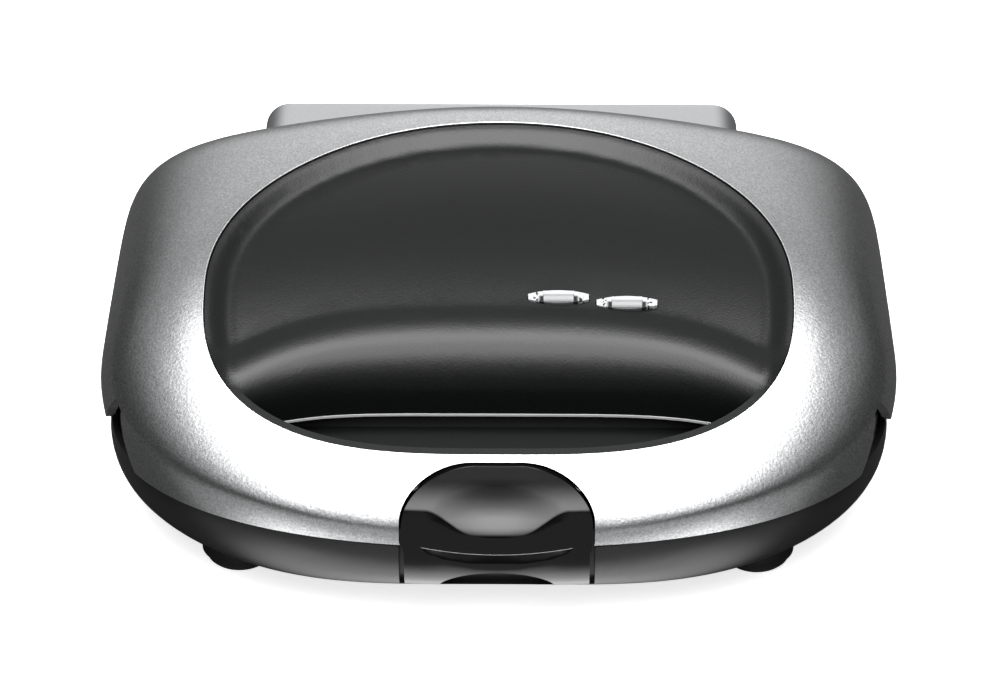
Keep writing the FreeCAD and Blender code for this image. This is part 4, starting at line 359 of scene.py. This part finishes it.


# Two lamp lenses.
# Clear moulded plastic, clipped into the panel. Its colour carries painted light: a painted
# highlight on the middle facet, painted shade in the corners beside it, along the rim and low
# down, and painted glints of small facets at both ends.

LENS_PAINTED_HIGHLIGHT, LENS_PAINTED_SHADE = (0.66, 0.67, 0.68), (0.03, 0.031, 0.032)
LENS_CORNER_INSIDE, LENS_CORNER_OUTSIDE = (0.0043, 0.0046), (0.0064, 0.0053)
LENS_CORNER_TOP = (0.0001, -0.0007)
LENS_SPARKLE_INSIDE, LENS_SPARKLE_OUTSIDE = (0.0060, 0.0063), (0.0078, 0.0074)
LENS_SPARKLE, LENS_SPARKLE_SHARE = 1300, (0.46, 0.40)
LENS_RIM, LENS_RIM_SHADE = (0.0020, 0.0026), 0.35
LENS_LOWER_TOP, LENS_LOWER_SIDE, LENS_LOWER_SHADE = (-0.0001, -0.0005), (0.0045, 0.0043), 0.42

for lens_name in ("power_lens", "ready_lens"):
    lens = Finish("ClearLens_" + lens_name)
    corners = [corner.co for corner in nodes[lens_name].data.vertices]
    centre_x = sum(corner.x for corner in corners) / len(corners)
    centre_y = sum(corner.y for corner in corners) / len(corners)
    # Masks of painted light: painted shade in the corners, along the rim and low down, and painted
    # glints of facets at both ends.
    beside = abs(lens.axis("X") - centre_x)
    beyond = lens.axis("Y") - centre_y
    corner_shade = (beside.eased(*LENS_CORNER_INSIDE) * beside.eased(*LENS_CORNER_OUTSIDE)
                    * beyond.eased(*LENS_CORNER_TOP))
    cut = lens.node("TexVoronoi", sockets={"Vector": lens.point, "Scale": LENS_SPARKLE},
                    output="Color")
    painted_glints = (beside.eased(*LENS_SPARKLE_INSIDE) * beside.eased(*LENS_SPARKLE_OUTSIDE)
               * cut.eased(*LENS_SPARKLE_SHARE))
    rim = abs(beyond).eased(*LENS_RIM)
    lower = beyond.eased(*LENS_LOWER_TOP) * beside.eased(*LENS_LOWER_SIDE)
    # Share of painted shade against the painted highlight of the middle facet.
    dark = corner_shade + painted_glints + lower * LENS_LOWER_SHADE + rim * LENS_RIM_SHADE
    lens.set(Base_Color=lens.colours(dark.at_most(1.0), LENS_PAINTED_HIGHLIGHT, LENS_PAINTED_SHADE),
             Roughness=0.10, Transmission_Weight=0.1, IOR=1.45)
    lens.on(lens_name)


# Front latch.
# Gloss black plastic, moulded and turning on a steel pin in the lid. Its face rolls back over the
# dimple at a brow, and drops away below a wave that is low in the middle and high at the sides.

BROW_START, BROW_STEEPNESS, BROW_DEPTH = 0.040, 91.0, 0.0040
WAVE_LOW, WAVE_RISE, WAVE_SIDES = 0.036, 0.006, (0.006, 0.021)
DROP_SLOPE, DROP_ROUNDING = 0.45, 0.003
GLOSS_EDGE, GLOSS_TOP = (0.0, 0.0006), (0.0485, 0.041)
FOOT_HEIGHTS, FOOT_GLOSS = (0.030, 0.020), 0.62
LATCH_HAZE = (60, 2)

latch_black = Finish("LatchBlack")
high = latch_black.axis("Z")
wave = abs(latch_black.axis("X")).eased(*WAVE_SIDES) * WAVE_RISE + WAVE_LOW
brow = ((high - BROW_START) * BROW_STEEPNESS).at_least(0.0) ** 2.0 * BROW_DEPTH
drop = (wave - high).at_least(0.0).math("SMOOTH_MIN", wave - WAVE_LOW, DROP_ROUNDING)
upper_gloss = (high - wave).eased(*GLOSS_EDGE) * high.eased(*GLOSS_TOP)
foot_gloss = high.eased(*FOOT_HEIGHTS) * FOOT_GLOSS
latch_black.set(
    Base_Color=latch_black.colours(latch_black.noise(*LATCH_HAZE), (0.003, 0.003, 0.0032),
                                   (0.005, 0.005, 0.0052)),
    Roughness=0.08, IOR=1.36, Coat_Roughness=0.04, Coat_Weight=upper_gloss + foot_gloss,
    Normal=latch_black.bump(brow - drop * DROP_SLOPE, 1.0))
latch_black.on("latch")


# Lip edge, a painted highlight over the latch's finger scoop.
# A grey, half-metallic colour on a fine thread laid along the lip, half sunk into the latch's
# face, stands in for the light caught by the lip.

LIP_POINTS, LIP_RADIUS = 60, 0.00013
LIP_HALF, LIP_LOW, LIP_RISE = 0.0221, 0.0301, 0.0020
LIP_SUNK = LIP_RADIUS * 0.5
BEFORE_LATCH = -0.12
REARWARD = Vector((0, 1, 0))

lip_rings = []
for number in range(LIP_POINTS + 1):
    share = 2 * number / LIP_POINTS - 1
    spot = Vector((LIP_HALF * share, BEFORE_LATCH, LIP_LOW + LIP_RISE * share ** 2))
    surface = nodes["latch"].ray_cast(spot, REARWARD)[1]
    lip_rings.append(ring(surface + REARWARD * LIP_SUNK, LIP_RADIUS, REARWARD, -UP))
# Painted highlight: a grey half-metallic colour for the light caught by the lip.
lip_highlight_paint = grained("WornEdge", texture=(900, 3), dark=(0.16, 0.16, 0.16), light=(0.30, 0.30, 0.30),
               Metallic=0.5, Roughness=0.3)
lip = tube("LatchLipEdge", lip_rings, False, lip_highlight_paint)
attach(lip, "latch")


# Studio tent, as light from the sky.
# White cloth glows in panels overhead, behind and in front of the object, and is dim at the
# sides. Each edge fades out over a range of a direction's part along one axis, from -1 to 1.

ZENITH_GLOW, ZENITH_BOW = 6.5, 0.2
ZENITH_REAR, ZENITH_FRONT = (0.36, 0.08), (-0.93, -0.55)
ZENITH_SIDE, ZENITH_FOOT = (0.48, 0.06), (0.1, 0.3)
SOFT_GLOW, SOFT_FOOT, SOFT_SIDE = 0.30, (0.2, 0.6), (0.85, 0.5)
REAR_GLOW, REAR_NEAR, REAR_TOP = 1.05, (0.6, 0.85), (0.70, 0.40)
REAR_FOOT, REAR_SIDE = (-0.05, 0.1), (0.62, 0.0)
FRONT_GLOW, FRONT_NEAR = 0.5, (-0.7, -0.95)
FRONT_FOOT, FRONT_SIDE = (0.12, 0.34), (0.7, 0.2)
DIM_GLOW = 0.05
WHITE = (1, 1, 1, 1)


def split_view(shading, output, for_light, for_camera):
    """Light the object by one shader, and show the camera another, plain one."""
    eye = shading.node("LightPath", output="Is Camera Ray")
    shown = shading.node("MixShader", sockets={0: eye, 1: for_light, 2: for_camera})
    shading.fill(shading.tree.nodes[output], {"Surface": shown})


scene.view_settings.view_transform = "Standard"
world = bpy.data.worlds.new("Studio")
world.use_nodes = True
scene.world = world
sky = Shading(world.node_tree, "Generated")
aside, back, up = abs(sky.axis("X")), sky.axis("Y"), sky.axis("Z")
bowed = back - aside.at_most(ZENITH_BOW)
zenith = (bowed.eased(*ZENITH_REAR) * back.eased(*ZENITH_FRONT)
          * aside.eased(*ZENITH_SIDE) * up.eased(*ZENITH_FOOT))
soft = up.eased(*SOFT_FOOT) * aside.eased(*SOFT_SIDE)
rear = (back.eased(*REAR_NEAR) * up.eased(*REAR_TOP) * up.eased(*REAR_FOOT)
        * aside.eased(*REAR_SIDE))
front = back.eased(*FRONT_NEAR) * up.eased(*FRONT_FOOT) * aside.eased(*FRONT_SIDE)
glow = (zenith * ZENITH_GLOW + soft * SOFT_GLOW + rear * REAR_GLOW + front * FRONT_GLOW
        + DIM_GLOW)
split_view(sky, "World Output",
           sky.node("Background", sockets={"Color": WHITE, "Strength": glow}),
           sky.node("Background", sockets={"Color": WHITE}))


# Studio table and overhead light.
# A matt table. Other rays see it dark, with a painted glowing strip before the object, brightest
# near it, which shows in the lower lid and the latch as painted light. One large soft lamp hangs
# overhead. The camera sees the table as almost white, with the shadow.

TABLE_SIZE = 12
STRIP_REAR, STRIP_SIDE = (-0.08, -0.10), (0.21, 0.08)
NEAR_FRONT, NEAR_SIDE = (-0.134, -0.108), (0.11, 0.07)
STRIP_GLOW, TABLE_LIGHT, TABLE_WHITE, TABLE_ROUGHNESS = 0.07, 2.1, 0.72, 0.9
TABLE_CLOUDS = (3, 2)
LAMP_PLACE, LAMP_TARGET = Vector((0, -0.05, 1.25)), Vector((0, -0.02, 0.07))
LAMP_WIDTH, LAMP_DEPTH, LAMP_POWER = 0.9, 0.5, 3

bpy.ops.mesh.primitive_plane_add(size=TABLE_SIZE, location=(0, 0, 0))
table = bpy.context.object
table.name = "StudioFloor"
paint = Finish("FloorPaint")
before = paint.axis("Y")
off_middle = abs(paint.axis("X"))
# Painted light for reflections: a dark table colour, lighter and glowing in a strip before the
# object, and glowing most near it.
painted_light_strip = before.eased(*STRIP_REAR) * off_middle.eased(*STRIP_SIDE)
painted_glow_near = before.eased(*NEAR_FRONT) * off_middle.eased(*NEAR_SIDE) * painted_light_strip
paint.set(Base_Color=paint.colours(painted_light_strip, (0.03, 0.03, 0.03), (0.2, 0.2, 0.2)),
          Roughness=TABLE_ROUGHNESS, Emission_Strength=TABLE_LIGHT,
          Emission_Color=paint.colours(painted_light_strip * STRIP_GLOW + painted_glow_near * (1 - STRIP_GLOW),
                                       (0, 0, 0), (1, 1, 1)))
pale = paint.colours(paint.noise(*TABLE_CLOUDS), (0.93, 0.93, 0.93), (0.96, 0.96, 0.96))
seen_table = paint.node("BsdfPrincipled", sockets={
    "Base Color": pale, "Roughness": TABLE_ROUGHNESS, "Emission Color": WHITE,
    "Emission Strength": TABLE_WHITE})
split_view(paint, "Material Output", Wire(paint, paint.shader.outputs[0]), seen_table)
table.data.materials.append(paint.material)

lamp_light = bpy.data.lights.new("OverheadLight", "AREA")
lamp_light.shape = "RECTANGLE"
lamp_light.size, lamp_light.size_y = LAMP_WIDTH, LAMP_DEPTH
lamp_light.energy = LAMP_POWER
lamp = bpy.data.objects.new("OverheadLight", lamp_light)
scene.collection.objects.link(lamp)
lamp.location = LAMP_PLACE
lamp.rotation_euler = (LAMP_TARGET - LAMP_PLACE).to_track_quat("-Z", "Y").to_euler()


# Camera.
# It stands 32 degrees above the table, almost straight in front, with a long lens.

AIM, DISTANCE = Vector((0, -0.013, 0.045)), 1.2
TURN, RISE = math.radians(0.4), math.radians(32)
SENSOR_WIDTH, LENS_LENGTH, LENS_SHIFT = 36, 140.4, 0.001

camera_data = bpy.data.cameras.new("PhotoCamera")
camera_data.sensor_width = SENSOR_WIDTH
camera_data.lens = LENS_LENGTH
camera_data.shift_x = LENS_SHIFT
camera = bpy.data.objects.new("PhotoCamera", camera_data)
scene.collection.objects.link(camera)
camera.location = AIM + DISTANCE * Vector((math.sin(TURN) * math.cos(RISE),
                                           -math.cos(TURN) * math.cos(RISE), math.sin(RISE)))
camera.rotation_euler = (AIM - camera.location).to_track_quat("-Z", "Y").to_euler()
scene.camera = camera
